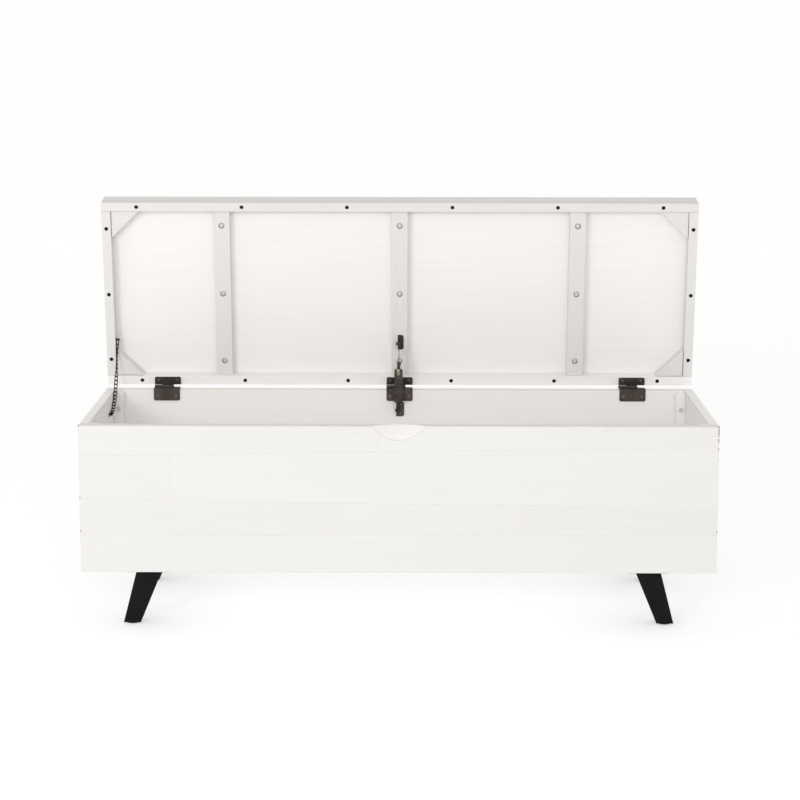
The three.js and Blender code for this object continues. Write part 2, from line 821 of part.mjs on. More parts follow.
// The pin stops just short of the blade, whose end stays free here
function stayLidPin() {
  const tip = lidEarRight + fitGap;
  const headRight = lidPadLeft - fitGap;
  const pin = rivet(headRight - lidPinHeadHeight, headRight, tip, 0);
  return pin.translate(0, -stayLidReach, -stayLidDrop);
}

// ---------------------------------------------------------------------------------------------
// Safety chain and the two screws that hold it
// ---------------------------------------------------------------------------------------------

// From the wood's face at x = 0 towards +X: shank in the wood, washer, and a domed head
function chainAnchor() {
  const headEnd = anchorHeadStart + anchorHeadHeight;
  const profile = [
    new THREE.Vector2(0, -anchorShankDepth),
    new THREE.Vector2(anchorShankRadius, -anchorShankDepth + anchorShankRadius),
    new THREE.Vector2(anchorShankRadius, fitGap),
    new THREE.Vector2(anchorWasherRadius, fitGap),
    new THREE.Vector2(anchorWasherRadius, anchorWasherThickness),
    new THREE.Vector2(anchorShankRadius, anchorWasherThickness),
    new THREE.Vector2(anchorShankRadius, anchorHeadStart),
    new THREE.Vector2(anchorHeadRadius, anchorHeadStart),
    new THREE.Vector2(anchorHeadRadius * anchorCrown, headEnd - anchorDomeHeight),
    new THREE.Vector2(0, headEnd),
  ];
  return new THREE.LatheGeometry(profile, roundSides).rotateZ(-Math.PI / 2);
}

function anchorPilot() {
  return rodX([-anchorShankDepth - through, through], 0, 0, anchorShankRadius + anchorPilotClearance);
}

function chainEnds() {
  const lower = new THREE.Vector3(
    -innerHalfWidth + chainStandoff,
    halfDepth - chainBoxReach,
    boxHeight - chainBoxDrop,
  );
  const closed = new THREE.Vector2(-hingePinBehind - chainLidReach, lidGap / 2 + chainLidDepth);
  const open = closed.rotateAround(new THREE.Vector2(0, 0), -lidOpenAngle);
  const upper = new THREE.Vector3(
    -halfWidth + lidRailWidth + chainStandoff,
    hingeAxis.y + open.x,
    hingeAxis.z + open.y,
  );
  return { upper, lower };
}

// Points along a hanging line of a given length, from the upper end to the lower one
function hangingPoints(upper, lower, length, endGap, steps) {
  const across = Math.hypot(lower.x - upper.x, lower.y - upper.y);
  const drop = upper.z - lower.z;
  const target = Math.sqrt(length ** 2 - drop ** 2) / across;
  let low = 1e-6;
  let high = 20;
  for (let i = 0; i < 60; i += 1) {
    const middle = (low + high) / 2;
    if (Math.sinh(middle) / middle < target) {
      low = middle;
    } else {
      high = middle;
    }
  }
  const scale = across / (2 * low);
  const lowest = across / 2 + scale * Math.atanh(drop / length);
  const start = Math.sinh(lowest / scale);
  const points = [];
  for (let i = 0; i <= steps; i += 1) {
    const travelled = endGap + ((length - 2 * endGap) * i) / steps;
    const run = lowest + scale * Math.asinh(travelled / scale - start);
    const fall = scale * (Math.cosh(lowest / scale) - Math.cosh((run - lowest) / scale));
    const share = run / across;
    points.push(new THREE.Vector3(
      upper.x + (lower.x - upper.x) * share,
      upper.y + (lower.y - upper.y) * share,
      upper.z - fall,
    ));
  }
  return points;
}

function chain() {
  const { upper, lower } = chainEnds();
  const route = new THREE.CatmullRomCurve3(hangingPoints(upper, lower, chainLength, chainEndGap, chainSteps));
  const section = new THREE.Shape();
  for (let i = 0; i < chainSides; i += 1) {
    const angle = ((i + 0.5) / chainSides) * 2 * Math.PI;
    const point = [chainRadius * Math.cos(angle), chainRadius * Math.sin(angle)];
    if (i === 0) {
      section.moveTo(...point);
    } else {
      section.lineTo(...point);
    }
  }
  section.closePath();
  return new THREE.ExtrudeGeometry(section, { steps: chainSteps, extrudePath: route, bevelEnabled: false });
}

// ---------------------------------------------------------------------------------------------
// Assembly
// ---------------------------------------------------------------------------------------------

const bench = new THREE.Group();

// Box, legs and what is fixed to them
const box = new THREE.Group();
bench.add(box);
addPart(box, 'front_panel', frontPanel(), whitewash);
addPart(box, 'back_panel', backPanel(), whitewash);
addPart(box, 'bottom_panel', bottomPanel(), paleInterior);
sides.forEach(([sideName, side]) => {
  const panel = endPanel(side);
  if (side < 0) {
    const { lower } = chainEnds();
    const pilot = anchorPilot().translate(-innerHalfWidth, lower.y, lower.z);
    addPart(box, `${sideName}_end_panel`, cut(panel, pilot), whitewash);
  } else {
    addPart(box, `${sideName}_end_panel`, panel, whitewash);
  }
  ends.forEach(([endName, end]) => {
    addPart(box, `corner_post_${endName}_${sideName}`, cornerPost(side, end), paleInterior);
    addPart(box, `leg_${endName}_${sideName}`, leg(side, end), blackSteel);
    addPart(box, `foot_glide_${endName}_${sideName}`, footGlide(side, end), blackNylon);
  });
});

// Lid, standing open on its hinges
const lid = new THREE.Group();
lid.position.set(0, hingeAxis.y, hingeAxis.z);
lid.rotation.x = -lidOpenAngle;
bench.add(lid);
const lidBoards = new THREE.Group();
lidBoards.position.set(0, -hingePinBehind, lidGap / 2);
lid.add(lidBoards);
addPart(lidBoards, 'lid_top_panel', lidTopPanel(), whitewash);
addPart(lidBoards, 'lid_rail_front', longRail(-1), paleInterior);
addPart(lidBoards, 'lid_rail_rear', longRail(1), paleInterior);
sides.forEach(([sideName, side]) => {
  addPart(lidBoards, `lid_rail_${sideName}`, shortRail(side), paleInterior);
  ends.forEach(([endName, end]) => {
    addPart(lidBoards, `lid_gusset_${endName}_${sideName}`, gusset(side, end), paleInterior);
  });
});
const places = ['left', 'centre', 'right'];
spread(battenCount, battenPitch).forEach((x, i) => {
  addPart(lidBoards, `lid_batten_${places[i]}`, batten(x), paleInterior);
  spread(screwsPerBatten, battenScrewPitch).forEach((dy, j) => {
    const row = ['front', 'middle', 'rear'][j];
    addPart(lidBoards, `batten_screw_${places[i]}_${row}`, battenScrew(x, dy - halfDepth), zincScrew);
  });
});

// Hinges
spread(hingeCount, hingePitch).forEach((x, i) => {
  const boxLeaf = addPart(box, `hinge_box_leaf_${places[i]}`, hingeBoxLeaf(), bronzeSteel);
  boxLeaf.position.set(x, hingeAxis.y, hingeAxis.z);
  const pin = addPart(box, `hinge_pin_${places[i]}`, hingePin(), bronzeSteel);
  pin.position.set(x, hingeAxis.y, hingeAxis.z);
  const lidLeaf = addPart(lid, `hinge_lid_leaf_${places[i]}`, hingeLidLeaf(), bronzeSteel);
  lidLeaf.position.set(x, 0, 0);
});

// Lid stay, in the middle
const pivots = stayPivots();
addPart(box, 'stay_box_bracket', stayBoxBracket(), bronzeSteel);
addPart(box, 'stay_box_pin', stayBoxPin(), bronzeSteel);
addPart(lidBoards, 'stay_lid_bracket', stayLidBracket(), bronzeSteel);
addPart(lidBoards, 'stay_lid_pin', stayLidPin(), bronzeSteel);
const housing = new THREE.Group();
housing.position.set(0, pivots.onBox.x, pivots.onBox.y);
housing.rotation.x = pivots.housingAngle;
bench.add(housing);
addPart(housing, 'stay_housing', stayHousing(), bronzeSteel);
addPart(housing, 'stay_plunger', stayPlunger(), brass);
const elbowPin = addPart(housing, 'stay_elbow_pin', stayElbowPin(), bronzeSteel);
elbowPin.position.set(0, 0, stayHousingLength);
const blade = new THREE.Group();
blade.position.set(0, pivots.elbow.x, pivots.elbow.y);
blade.rotation.x = pivots.bladeAngle;
bench.add(blade);
addPart(blade, 'stay_blade', stayBlade(), bronzeSteel);

// Chain
const chainPlaces = chainEnds();
const boxAnchor = addPart(box, 'chain_box_anchor', chainAnchor(), bronzeSteel);
boxAnchor.position.set(-innerHalfWidth, chainPlaces.lower.y, chainPlaces.lower.z);
const lidAnchor = addPart(lidBoards, 'chain_lid_anchor', chainAnchor(), bronzeSteel);
lidAnchor.position.set(-halfWidth + lidRailWidth, -chainLidReach, chainLidDepth);
addPart(bench, 'chain', chain(), bronzeSteel);

// Stand the bench on the floor, centred on its bounding box
bench.updateMatrixWorld(true);
const bounds = new THREE.Box3().setFromObject(bench, true);
const centre = bounds.getCenter(new THREE.Vector3());
bench.position.set(-centre.x, -centre.y, -bounds.min.z);

export default bench;
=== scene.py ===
# %% [markdown]
# # A whitewashed storage bench
# The bench is a long box of glued-up staves on four folded steel legs. Its seat is a hinged lid, which stands
# open on a folding stay and a safety chain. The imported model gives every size, place and pivot; this script
# makes the pieces as they look: staves with joints, softened arrises, real screws and a linked chain.

import json
import math
import random

import bmesh
import bpy
from mathutils import Matrix, Vector


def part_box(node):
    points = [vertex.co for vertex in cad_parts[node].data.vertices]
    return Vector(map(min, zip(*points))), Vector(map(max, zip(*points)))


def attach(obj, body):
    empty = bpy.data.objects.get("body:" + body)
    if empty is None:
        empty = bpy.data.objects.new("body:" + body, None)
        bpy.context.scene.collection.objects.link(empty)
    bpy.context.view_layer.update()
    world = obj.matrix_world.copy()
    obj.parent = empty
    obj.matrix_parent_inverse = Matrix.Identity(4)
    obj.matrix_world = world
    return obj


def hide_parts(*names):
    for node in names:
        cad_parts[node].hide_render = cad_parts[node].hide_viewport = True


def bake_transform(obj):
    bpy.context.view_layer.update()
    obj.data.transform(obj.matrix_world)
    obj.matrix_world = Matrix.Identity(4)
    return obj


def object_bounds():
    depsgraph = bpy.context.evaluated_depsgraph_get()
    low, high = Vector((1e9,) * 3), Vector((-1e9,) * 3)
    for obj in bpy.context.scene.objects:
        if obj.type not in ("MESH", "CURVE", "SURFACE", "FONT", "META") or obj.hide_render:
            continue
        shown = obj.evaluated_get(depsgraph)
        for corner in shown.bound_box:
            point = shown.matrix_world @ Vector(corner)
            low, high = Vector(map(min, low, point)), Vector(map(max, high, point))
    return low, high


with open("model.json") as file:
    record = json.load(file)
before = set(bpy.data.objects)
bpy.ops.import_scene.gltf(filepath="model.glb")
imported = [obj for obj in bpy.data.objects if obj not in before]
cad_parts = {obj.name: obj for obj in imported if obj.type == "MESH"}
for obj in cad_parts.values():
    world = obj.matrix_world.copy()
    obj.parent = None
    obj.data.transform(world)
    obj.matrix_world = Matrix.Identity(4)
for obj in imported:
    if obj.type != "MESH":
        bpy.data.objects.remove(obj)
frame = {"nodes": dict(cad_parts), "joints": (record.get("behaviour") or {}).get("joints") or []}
cad_low, cad_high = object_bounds()
MM = 0.001
joint_at = {joint["name"]: Vector(joint["pos_m"]) for joint in frame["joints"]}
print("bench", [round(size, 4) for size in cad_high - cad_low], "nodes", len(frame["nodes"]))

# %% [markdown]
# The camera stands in front of the bench, higher than the open lid, with a long lens so that the box keeps its
# shape. A small vertical shift places the bench in the frame as a shift lens would, without another tilt.

# %% Camera
CAMERA_PLACE = Vector((0.0197, -4.0445, 1.1907))
CAMERA_DOWN = 8.195
CAMERA_TURN = 0.26
CAMERA_ROLL = 0.071
CAMERA_SHIFT = -0.125
LENS_LENGTH = 92.2005
SENSOR_WIDTH = 36.0

camera_data = bpy.data.cameras.new("camera")
camera_data.sensor_width = SENSOR_WIDTH
camera_data.lens = LENS_LENGTH
camera_data.shift_y = CAMERA_SHIFT
camera = bpy.data.objects.new("camera", camera_data)
bpy.context.scene.collection.objects.link(camera)
turned = Matrix.Rotation(math.radians(CAMERA_TURN), 4, "Z")
tilted = Matrix.Rotation(math.radians(90 - CAMERA_DOWN), 4, "X")
rolled = Matrix.Rotation(math.radians(CAMERA_ROLL), 4, "Z")
camera.matrix_world = Matrix.Translation(CAMERA_PLACE) @ turned @ tilted @ rolled
bpy.context.scene.camera = camera
print("lens", round(camera_data.lens, 1), "mm")

# %% [markdown]
# A few helpers carry the whole script. Colours are written as sRGB hex and turned to linear light once. One
# function adds a shader node with its settings and links. One turns a bmesh into a finished piece, which rides
# on a body of the frame and may stand for one of its solids.

# %% Helpers for colour and nodes
def paint(text):
    channels = [int(text[i:i + 2], 16) / 255 for i in (1, 3, 5)]
    linear = [c / 12.92 if c <= 0.04045 else ((c + 0.055) / 1.055) ** 2.4 for c in channels]
    return (*linear, 1.0)


def node(tree, kind, values=(), **settings):
    made = tree.nodes.new(kind)
    for key, value in settings.items():
        setattr(made, key, value)
    for socket, value in dict(values).items():
        if isinstance(value, bpy.types.NodeSocket):
            tree.links.new(value, made.inputs[socket])
        else:
            made.inputs[socket].default_value = value
    return made


def new_material(name):
    made = bpy.data.materials.new(name)
    made.use_nodes = True
    tree = made.node_tree
    return made, tree, tree.nodes["Principled BSDF"]


print("white", [round(c, 3) for c in paint("#F1EFEC")[:3]])

# %% Helpers for pieces
# Faces over 1.5 square centimetres stay flat-shaded, and points closer than a hundredth of a millimetre merge.
FLAT_AREA = 150 * MM ** 2
WELD = 0.01 * MM


def block(size, middle):
    bm = bmesh.new()
    bmesh.ops.create_cube(bm, size=1)
    bmesh.ops.scale(bm, vec=size, verts=bm.verts)
    bmesh.ops.translate(bm, vec=middle, verts=bm.verts)
    return bm


def finish_piece(bm, name, materials, body, stands_for=(), sharp=38):
    """A bmesh made into a piece that rides on a body and may stand for solids of the frame."""
    mesh = bpy.data.meshes.new(name)
    bm.to_mesh(mesh)
    bm.free()
    for material in materials:
        mesh.materials.append(material)
    mesh.shade_smooth()
    mesh.set_sharp_from_angle(angle=math.radians(sharp))
    for face in mesh.polygons:
        if face.area > FLAT_AREA:
            face.use_smooth = False
    piece = bpy.data.objects.new(name, mesh)
    bpy.context.scene.collection.objects.link(piece)
    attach(piece, body)
    if stands_for:
        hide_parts(*stands_for)


def soften(bm, width, segments=2, limit=50, material=-1, keep=None):
    """Round the edges that turn by more than the limit, or those of them that are kept."""
    edges = [
        e for e in bm.edges
        if len(e.link_faces) == 2
        and e.calc_face_angle(0) > math.radians(limit)
        and (keep is None or keep(e))
    ]
    bmesh.ops.bevel(
        bm, geom=edges, offset=width, offset_type="OFFSET", affect="EDGES",
        segments=segments, profile=0.5, material=material, clamp_overlap=True,
    )


def carved(bm, tool, operation="DIFFERENCE"):
    """The first shape less the second, or what the two share, by the exact Boolean."""
    pair = []
    for shape in (bm, tool):
        mesh = bpy.data.meshes.new("carving")
        shape.to_mesh(mesh)
        shape.free()
        obj = bpy.data.objects.new("carving", mesh)
        bpy.context.scene.collection.objects.link(obj)
        pair.append(obj)
    cut = pair[0].modifiers.new("cut", "BOOLEAN")
    cut.operation, cut.object, cut.solver = operation, pair[1], "EXACT"
    ready = pair[0].evaluated_get(bpy.context.evaluated_depsgraph_get())
    made = bmesh.new()
    made.from_mesh(ready.to_mesh())
    for obj in pair:
        mesh = obj.data
        bpy.data.objects.remove(obj)
        bpy.data.meshes.remove(mesh)
    return made


def cad_copy(name):
    """A merged copy of a frame solid, ready to be softened."""
    bm = bmesh.new()
    bm.from_mesh(frame["nodes"][name].data)
    for face in bm.faces:
        face.material_index = 0
    bmesh.ops.remove_doubles(bm, verts=bm.verts, dist=WELD)
    bmesh.ops.dissolve_limit(bm, angle_limit=math.radians(1), verts=bm.verts, edges=bm.edges)
    return bm


print("helpers ready")

# %% [markdown]
# ## Safety chain
# A twisted curb chain runs from a screw in the left end to a screw in the lid. It hangs almost straight, because
# the open lid takes up nearly all of its 194 mm. The line is the catenary of that length between the two ends.
# It is eased forwards where it passes the lid's gusset, so that the links lie clear of it.

# %% Chain's line
CHAIN_LENGTH = 194 * MM
CHAIN_LOW = Vector((-0.5872, 0.051156, 0.3634))
CHAIN_HIGH = Vector((-0.5878, 0.166946, 0.500069))
CHAIN_END_GAP = 2.4 * MM
CHAIN_STEPS = 40
CHAIN_ASIDE = Vector((0.3, -2.4, 0)) * MM
HALVINGS = 60


def catenary(low, high, length):
    """Points of the hanging line from the low end to the high end; its scale is found by halving."""
    across = math.hypot(high.x - low.x, high.y - low.y)
    drop = high.z - low.z
    target = math.sqrt(length ** 2 - drop ** 2) / across
    small, large = 1e-6, 20
    for _ in range(HALVINGS):
        middle = (small + large) / 2
        small, large = (middle, large) if math.sinh(middle) / middle < target else (small, middle)
    scale = across / (2 * small)
    lowest = across / 2 + scale * math.atanh(drop / length)
    start = math.sinh(lowest / scale)
    points = []
    for step in range(CHAIN_STEPS + 1):
        run = lowest + scale * math.asinh(length * step / CHAIN_STEPS / scale - start)
        fall = scale * (math.cosh(lowest / scale) - math.cosh((run - lowest) / scale))
        point = high.lerp(low, run / across)
        point.z = high.z - fall
        points.append(point)
    return points[::-1]


along_chain = (CHAIN_HIGH - CHAIN_LOW).normalized() * CHAIN_END_GAP
chain_line = catenary(
    CHAIN_LOW + along_chain, CHAIN_HIGH - along_chain, CHAIN_LENGTH - 2 * CHAIN_END_GAP,
)
chain_line = [
    p + CHAIN_ASIDE * math.sin(math.pi * i / CHAIN_STEPS) ** 2 for i, p in enumerate(chain_line)
]
chain_run = sum((b - a).length for a, b in zip(chain_line, chain_line[1:]))
print("chain", round(chain_run / MM, 1), "mm along its middle")

# %% [markdown]
# One link is a ring of wire, spun from a small circle, pulled long and twisted about its length, which is what
# lets a curb chain lie flat. The chain turns on itself, so the links show their holes low down and their edges
# higher up.

# %% Chain's links
WIRE = 1.9 * MM
LINK_WIDTH, LINK_PITCH = 8.0 * MM, 8.6 * MM
LINK_TWIST = math.radians(60)
# How far the chain has turned, in degrees, at each share of its length.
CHAIN_ROLL = [(0, 0), (0.5, 0), (0.66, 75), (0.82, 95), (1, 160)]


def one_link():
    bm = bmesh.new()
    middle = (LINK_WIDTH - WIRE) / 2
    bmesh.ops.create_circle(bm, cap_ends=False, segments=8, radius=WIRE / 2)
    bmesh.ops.rotate(bm, matrix=Matrix.Rotation(math.pi / 2, 3, "X"), verts=bm.verts)
    bmesh.ops.translate(bm, vec=(middle, 0, 0), verts=bm.verts)
    bmesh.ops.spin(
        bm, geom=bm.verts[:] + bm.edges[:], cent=(0, 0, 0), axis=(0, 0, 1), angle=2 * math.pi,
        steps=20, use_merge=True,
    )
    bmesh.ops.remove_doubles(bm, verts=bm.verts, dist=WELD)
    straight = (LINK_PITCH + 2 * WIRE - LINK_WIDTH) / 2
    for vert in bm.verts:
        if abs(vert.co.y) > 0.1 * MM:
            vert.co.y += math.copysign(straight, vert.co.y)
        turn = LINK_TWIST * vert.co.y / (LINK_PITCH + 2 * WIRE)
        vert.co = Matrix.Rotation(turn, 3, "Y") @ vert.co
    bmesh.ops.recalc_face_normals(bm, faces=bm.faces)
    mesh = bpy.data.meshes.new("link")
    bm.to_mesh(mesh)
    bm.free()
    return mesh


def stamp(bm, mesh, matrix):
    """Add a copy of a mesh, placed by a matrix."""
    before = len(bm.verts)
    bm.from_mesh(mesh)
    bm.verts.ensure_lookup_table()
    bmesh.ops.transform(bm, matrix=matrix, verts=bm.verts[before:])


def stepped(table, share):
    """The table's value at a share of the way, straight between its rows."""
    for (a, low), (b, high) in zip(table, table[1:]):
        if share <= b:
            return low + (high - low) * (share - a) / (b - a)
    return table[-1][1]


def chain_frame(distance):
    """Where a link sits along the line: its long axis on the line, its face turned by the chain's roll."""
    for a, b in zip(chain_line, chain_line[1:]):
        step = (b - a).length
        if distance <= step or b is chain_line[-1]:
            break
        distance -= step
    forward = (b - a).normalized()
    side = (Vector((1, 0, 0)) - forward * forward.x).normalized()
    place = Matrix((side, forward, side.cross(forward))).transposed().to_4x4()
    place.translation = a + forward * distance
    return place


link = one_link()
link_count = round(chain_run / LINK_PITCH)
chain_bm = bmesh.new()
for i in range(link_count):
    share = (i + 0.5) / link_count
    roll = Matrix.Rotation(math.radians(stepped(CHAIN_ROLL, share)), 4, "Y")
    stamp(chain_bm, link, chain_frame(share * chain_run) @ roll)
print("chain of", link_count, "links")

# %% [markdown]
# ## Whitewashed hardwood
# The outside is solid hardwood, glued up from staves, scraped by hand and painted with a thin off-white wash.
# The eye sees a nearly white, dry surface: faint streaks along the grain, staves of slightly different tone,
# shallow scraping, a few brown nicks, and brown wood where the paint is rubbed off an arris.
# Streaks are noise stretched along the grain, 4 mm wide and 150 mm long; scraping is 24 mm wide. The corner that
# gets knocked most has bare wood down its arris, in round patches with ragged rims that run into one another.

# %% Whitewash
STREAK_WIDTH, STREAK_LENGTH = 4 * MM, 150 * MM
SCRAPE_WIDTH, SCRAPE_LENGTH = 24 * MM, 90 * MM
NICK_SIZE = 16 * MM
NICK_START, NICK_FULL = 0.735, 0.775
SCRAPE_DEPTH = 0.35 * MM
# Each knock is how far below the top it lies and its radius, in millimetres.
RIGHT_KNOCKS = [
    (0, 4), (6, 3.2), (10, 2.8), (14, 3.1), (18.5, 2.4), (26, 2.9), (30, 2.2), (44, 2.3), (63, 1.7), (206, 2.5),
]
LEFT_KNOCKS = [(1, 2.5), (141, 2.5), (206, 2.5)]
box_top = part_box("front_panel")[1].z
KNOCKS = [
    (Vector((x, cad_low.y, box_top - drop * MM)), radius * MM)
    for x, knocks in ((cad_high.x, RIGHT_KNOCKS), (cad_low.x, LEFT_KNOCKS))
    for drop, radius in knocks
]
PAINT_IOR, PAINT_GLOSS = 1.46, 0.35


def whitewash(name, along, light="#E0DFDD", dark="#D6D4D1", bare="#6F5642", worn=0.0):
    made, tree, surface = new_material(name)

    def stretched(width, length):
        per_metre = [1 / width] * 3
        per_metre["XYZ".index(along)] = 1 / length
        place = node(tree, "ShaderNodeTexCoord").outputs["Object"]
        return node(tree, "ShaderNodeMapping", {"Vector": place, "Scale": per_metre}).outputs[0]

    streak = node(
        tree, "ShaderNodeTexNoise",
        {"Vector": stretched(STREAK_WIDTH, STREAK_LENGTH), "Scale": 1, "Detail": 4, "Roughness": 0.6},
    ).outputs["Fac"]
    scrape = node(
        tree, "ShaderNodeTexNoise",
        {"Vector": stretched(SCRAPE_WIDTH, SCRAPE_LENGTH), "Scale": 1, "Detail": 2, "Distortion": 0.6},
    ).outputs["Fac"]
    nick = node(
        tree, "ShaderNodeTexNoise",
        {"Vector": stretched(NICK_SIZE, NICK_SIZE * 1.6), "Scale": 1, "Detail": 5, "Roughness": 0.65},
    ).outputs["Fac"]
    stave = node(tree, "ShaderNodeAttribute", attribute_name="stave").outputs["Fac"]
    tone = node(
        tree, "ShaderNodeMath", {0: stave, 1: streak}, operation="ADD",
    ).outputs[0]
    tone = node(
        tree, "ShaderNodeMapRange", {"Value": tone, "From Min": 0.1, "From Max": 1.4},
    ).outputs[0]
    colour = node(
        tree, "ShaderNodeMix", {0: tone, 6: paint(dark), 7: paint(light)}, data_type="RGBA",
    ).outputs[2]
    bared = node(
        tree, "ShaderNodeMapRange",
        {"Value": nick, "From Min": NICK_START - worn, "From Max": NICK_FULL - worn, "To Max": 0.85},
    ).outputs[0]
    here = node(tree, "ShaderNodeTexCoord").outputs["Object"]
    for point, radius in KNOCKS:
        away = node(
            tree, "ShaderNodeVectorMath", {0: here, 1: point}, operation="DISTANCE",
        ).outputs["Value"]
        ragged = node(
            tree, "ShaderNodeMath", {0: nick, 1: away, 2: away}, operation="MULTIPLY_ADD",
        ).outputs[0]
        knocked = node(
            tree, "ShaderNodeMapRange",
            {"Value": ragged, "From Min": radius * 1.3, "From Max": radius * 0.9},
        ).outputs[0]
        bared = node(tree, "ShaderNodeMath", {0: bared, 1: knocked}, operation="MAXIMUM").outputs[0]
    colour = node(
        tree, "ShaderNodeMix", {0: bared, 6: colour, 7: paint(bare)}, data_type="RGBA",
    ).outputs[2]
    tree.links.new(colour, surface.inputs["Base Color"])
    rough = node(
        tree, "ShaderNodeMapRange", {"Value": streak, "To Min": 0.5, "To Max": 0.68},
    ).outputs[0]
    tree.links.new(rough, surface.inputs["Roughness"])
    relief = node(
        tree, "ShaderNodeMath", {0: scrape, 1: streak}, operation="ADD",
    ).outputs[0]
    bump = node(
        tree, "ShaderNodeBump", {"Height": relief, "Distance": SCRAPE_DEPTH, "Strength": 0.8},
    ).outputs[0]
    tree.links.new(bump, surface.inputs["Normal"])
    surface.inputs["IOR"].default_value = PAINT_IOR
    surface.inputs["Specular IOR Level"].default_value = PAINT_GLOSS
    return made


# Whitewashed hardwood outside; rubbed wash on the arrises; a lighter wash in the finger pull, painted light for
# the scoop.
WASH_X = whitewash("whitewashed_hardwood_along", "X")
WASH_Y = whitewash("whitewashed_hardwood_across", "Y")
PULL_EDGE = whitewash("rubbed_pull_edge", "X", light="#C9C3BC", dark="#BDB6AE")
PULL_PAINTED_LIGHT = whitewash("finger_pull_wash_painted_light", "X", light="#EBEAE8", dark="#E3E1DE")
WORN_X = whitewash("rubbed_arris_along", "X", light="#D8D5D0", dark="#C6BFB7", worn=0.05)
WORN_Y = whitewash("rubbed_arris_across", "Y", light="#D8D5D0", dark="#C6BFB7", worn=0.05)
print("whitewash in", 6, "forms")

# %% [markdown]
# The inside, the rails, battens, posts and gussets are sprayed off-white over sanded wood. Panels, posts and rims
# get a whiter copy of the same paint, painted light that lifts the inside of the box out of its shade. A spray
# leaves no brush marks, so only a fine orange-peel bump and very faint grain show.

# %% Sprayed paint
PEEL_SIZE, PEEL_DEPTH = 2.2 * MM, 0.12 * MM
FAINT_GRAIN_WIDTH, FAINT_GRAIN_LENGTH = 6 * MM, 200 * MM


def sprayed(name, along, light="#E1DEDC", dark="#D9D6D3"):
    made, tree, surface = new_material(name)
    per_metre = [1 / FAINT_GRAIN_WIDTH] * 3
    per_metre["XYZ".index(along)] = 1 / FAINT_GRAIN_LENGTH
    place = node(tree, "ShaderNodeTexCoord").outputs["Object"]
    long_place = node(tree, "ShaderNodeMapping", {"Vector": place, "Scale": per_metre}).outputs[0]
    grain = node(
        tree, "ShaderNodeTexNoise", {"Vector": long_place, "Scale": 1, "Detail": 3},
    ).outputs["Fac"]
    peel = node(
        tree, "ShaderNodeTexNoise", {"Vector": place, "Scale": 1 / PEEL_SIZE, "Detail": 2},
    ).outputs["Fac"]
    colour = node(
        tree, "ShaderNodeMix", {0: grain, 6: paint(dark), 7: paint(light)}, data_type="RGBA",
    ).outputs[2]
    tree.links.new(colour, surface.inputs["Base Color"])
    relief = node(tree, "ShaderNodeMath", {0: grain, 1: peel}, operation="ADD").outputs[0]
    bump = node(
        tree, "ShaderNodeBump", {"Height": relief, "Distance": PEEL_DEPTH, "Strength": 0.6},
    ).outputs[0]
    tree.links.new(bump, surface.inputs["Normal"])
    rough = node(tree, "ShaderNodeMapRange", {"Value": peel, "To Min": 0.52, "To Max": 0.64}).outputs[0]
    tree.links.new(rough, surface.inputs["Roughness"])
    surface.inputs["IOR"].default_value = PAINT_IOR
    surface.inputs["Specular IOR Level"].default_value = PAINT_GLOSS
    return made


SPRAY_X = sprayed("sprayed_white_along", "X")
SPRAY_Z = sprayed("sprayed_white_upright", "Z")
# The whiter copy below is painted light: it brightens the shaded inside of the box, the lid's underside and the
# rear rail.
SPRAY_PAINTED_LIGHT_X = sprayed("sprayed_white_painted_light_along", "X", light="#F2F0EE", dark="#EBE9E6")
SPRAY_PAINTED_LIGHT_Y = sprayed("sprayed_white_painted_light_across", "Y", light="#F2F0EE", dark="#EBE9E6")
SPRAY_PAINTED_LIGHT_Z = sprayed("sprayed_white_painted_light_upright", "Z", light="#F2F0EE", dark="#EBE9E6")
print("sprayed paint, two whites in five forms")

# %% [markdown]
# ## Metals and nylon
# The legs are powder-coated steel: near black, satin, with a fine pebbled skin. The hinges and the stay are
# plated in an antique bronze that is almost black, with lighter rubbed screws. The chain is blackened zinc. The
# screws in the battens were sprayed over with the lid. The plunger in the stay is turned brass and the glides are
# black nylon. The rail holes show bare wood darkened with painted shade, the battens' counterbores a grey painted
# shade. All come from one noise pattern at two sizes: a wide one for the tone and a fine one for the skin.

# %% Powder coat, antique bronze, brass, zinc, nylon
PATCH_START, PATCH_FULL = 0.42, 0.68
ROUGH_SPREAD = 0.08


def metal(name, base, second, metallic, rough, grit, depth, patch, gloss=0.5):
    """Two tones in patches, over a skin of grains of one size and depth, in metres."""
    made, tree, surface = new_material(name)
    place = node(tree, "ShaderNodeTexCoord").outputs["Object"]
    wide = node(tree, "ShaderNodeTexNoise", {"Vector": place, "Scale": 1 / patch, "Detail": 4}).outputs["Fac"]
    fine = node(tree, "ShaderNodeTexNoise", {"Vector": place, "Scale": 1 / grit, "Detail": 2}).outputs["Fac"]
    share = node(
        tree, "ShaderNodeMapRange",
        {"Value": wide, "From Min": PATCH_START, "From Max": PATCH_FULL},
    ).outputs[0]
    colour = node(
        tree, "ShaderNodeMix", {0: share, 6: paint(base), 7: paint(second)}, data_type="RGBA",
    ).outputs[2]
    tree.links.new(colour, surface.inputs["Base Color"])
    roughness = node(
        tree, "ShaderNodeMapRange",
        {"Value": wide, "To Min": rough - ROUGH_SPREAD, "To Max": rough + ROUGH_SPREAD},
    ).outputs[0]
    tree.links.new(roughness, surface.inputs["Roughness"])
    bump = node(tree, "ShaderNodeBump", {"Height": fine, "Distance": depth, "Strength": 0.5}).outputs[0]
    tree.links.new(bump, surface.inputs["Normal"])
    surface.inputs["Metallic"].default_value = metallic
    surface.inputs["Specular IOR Level"].default_value = gloss
    return made


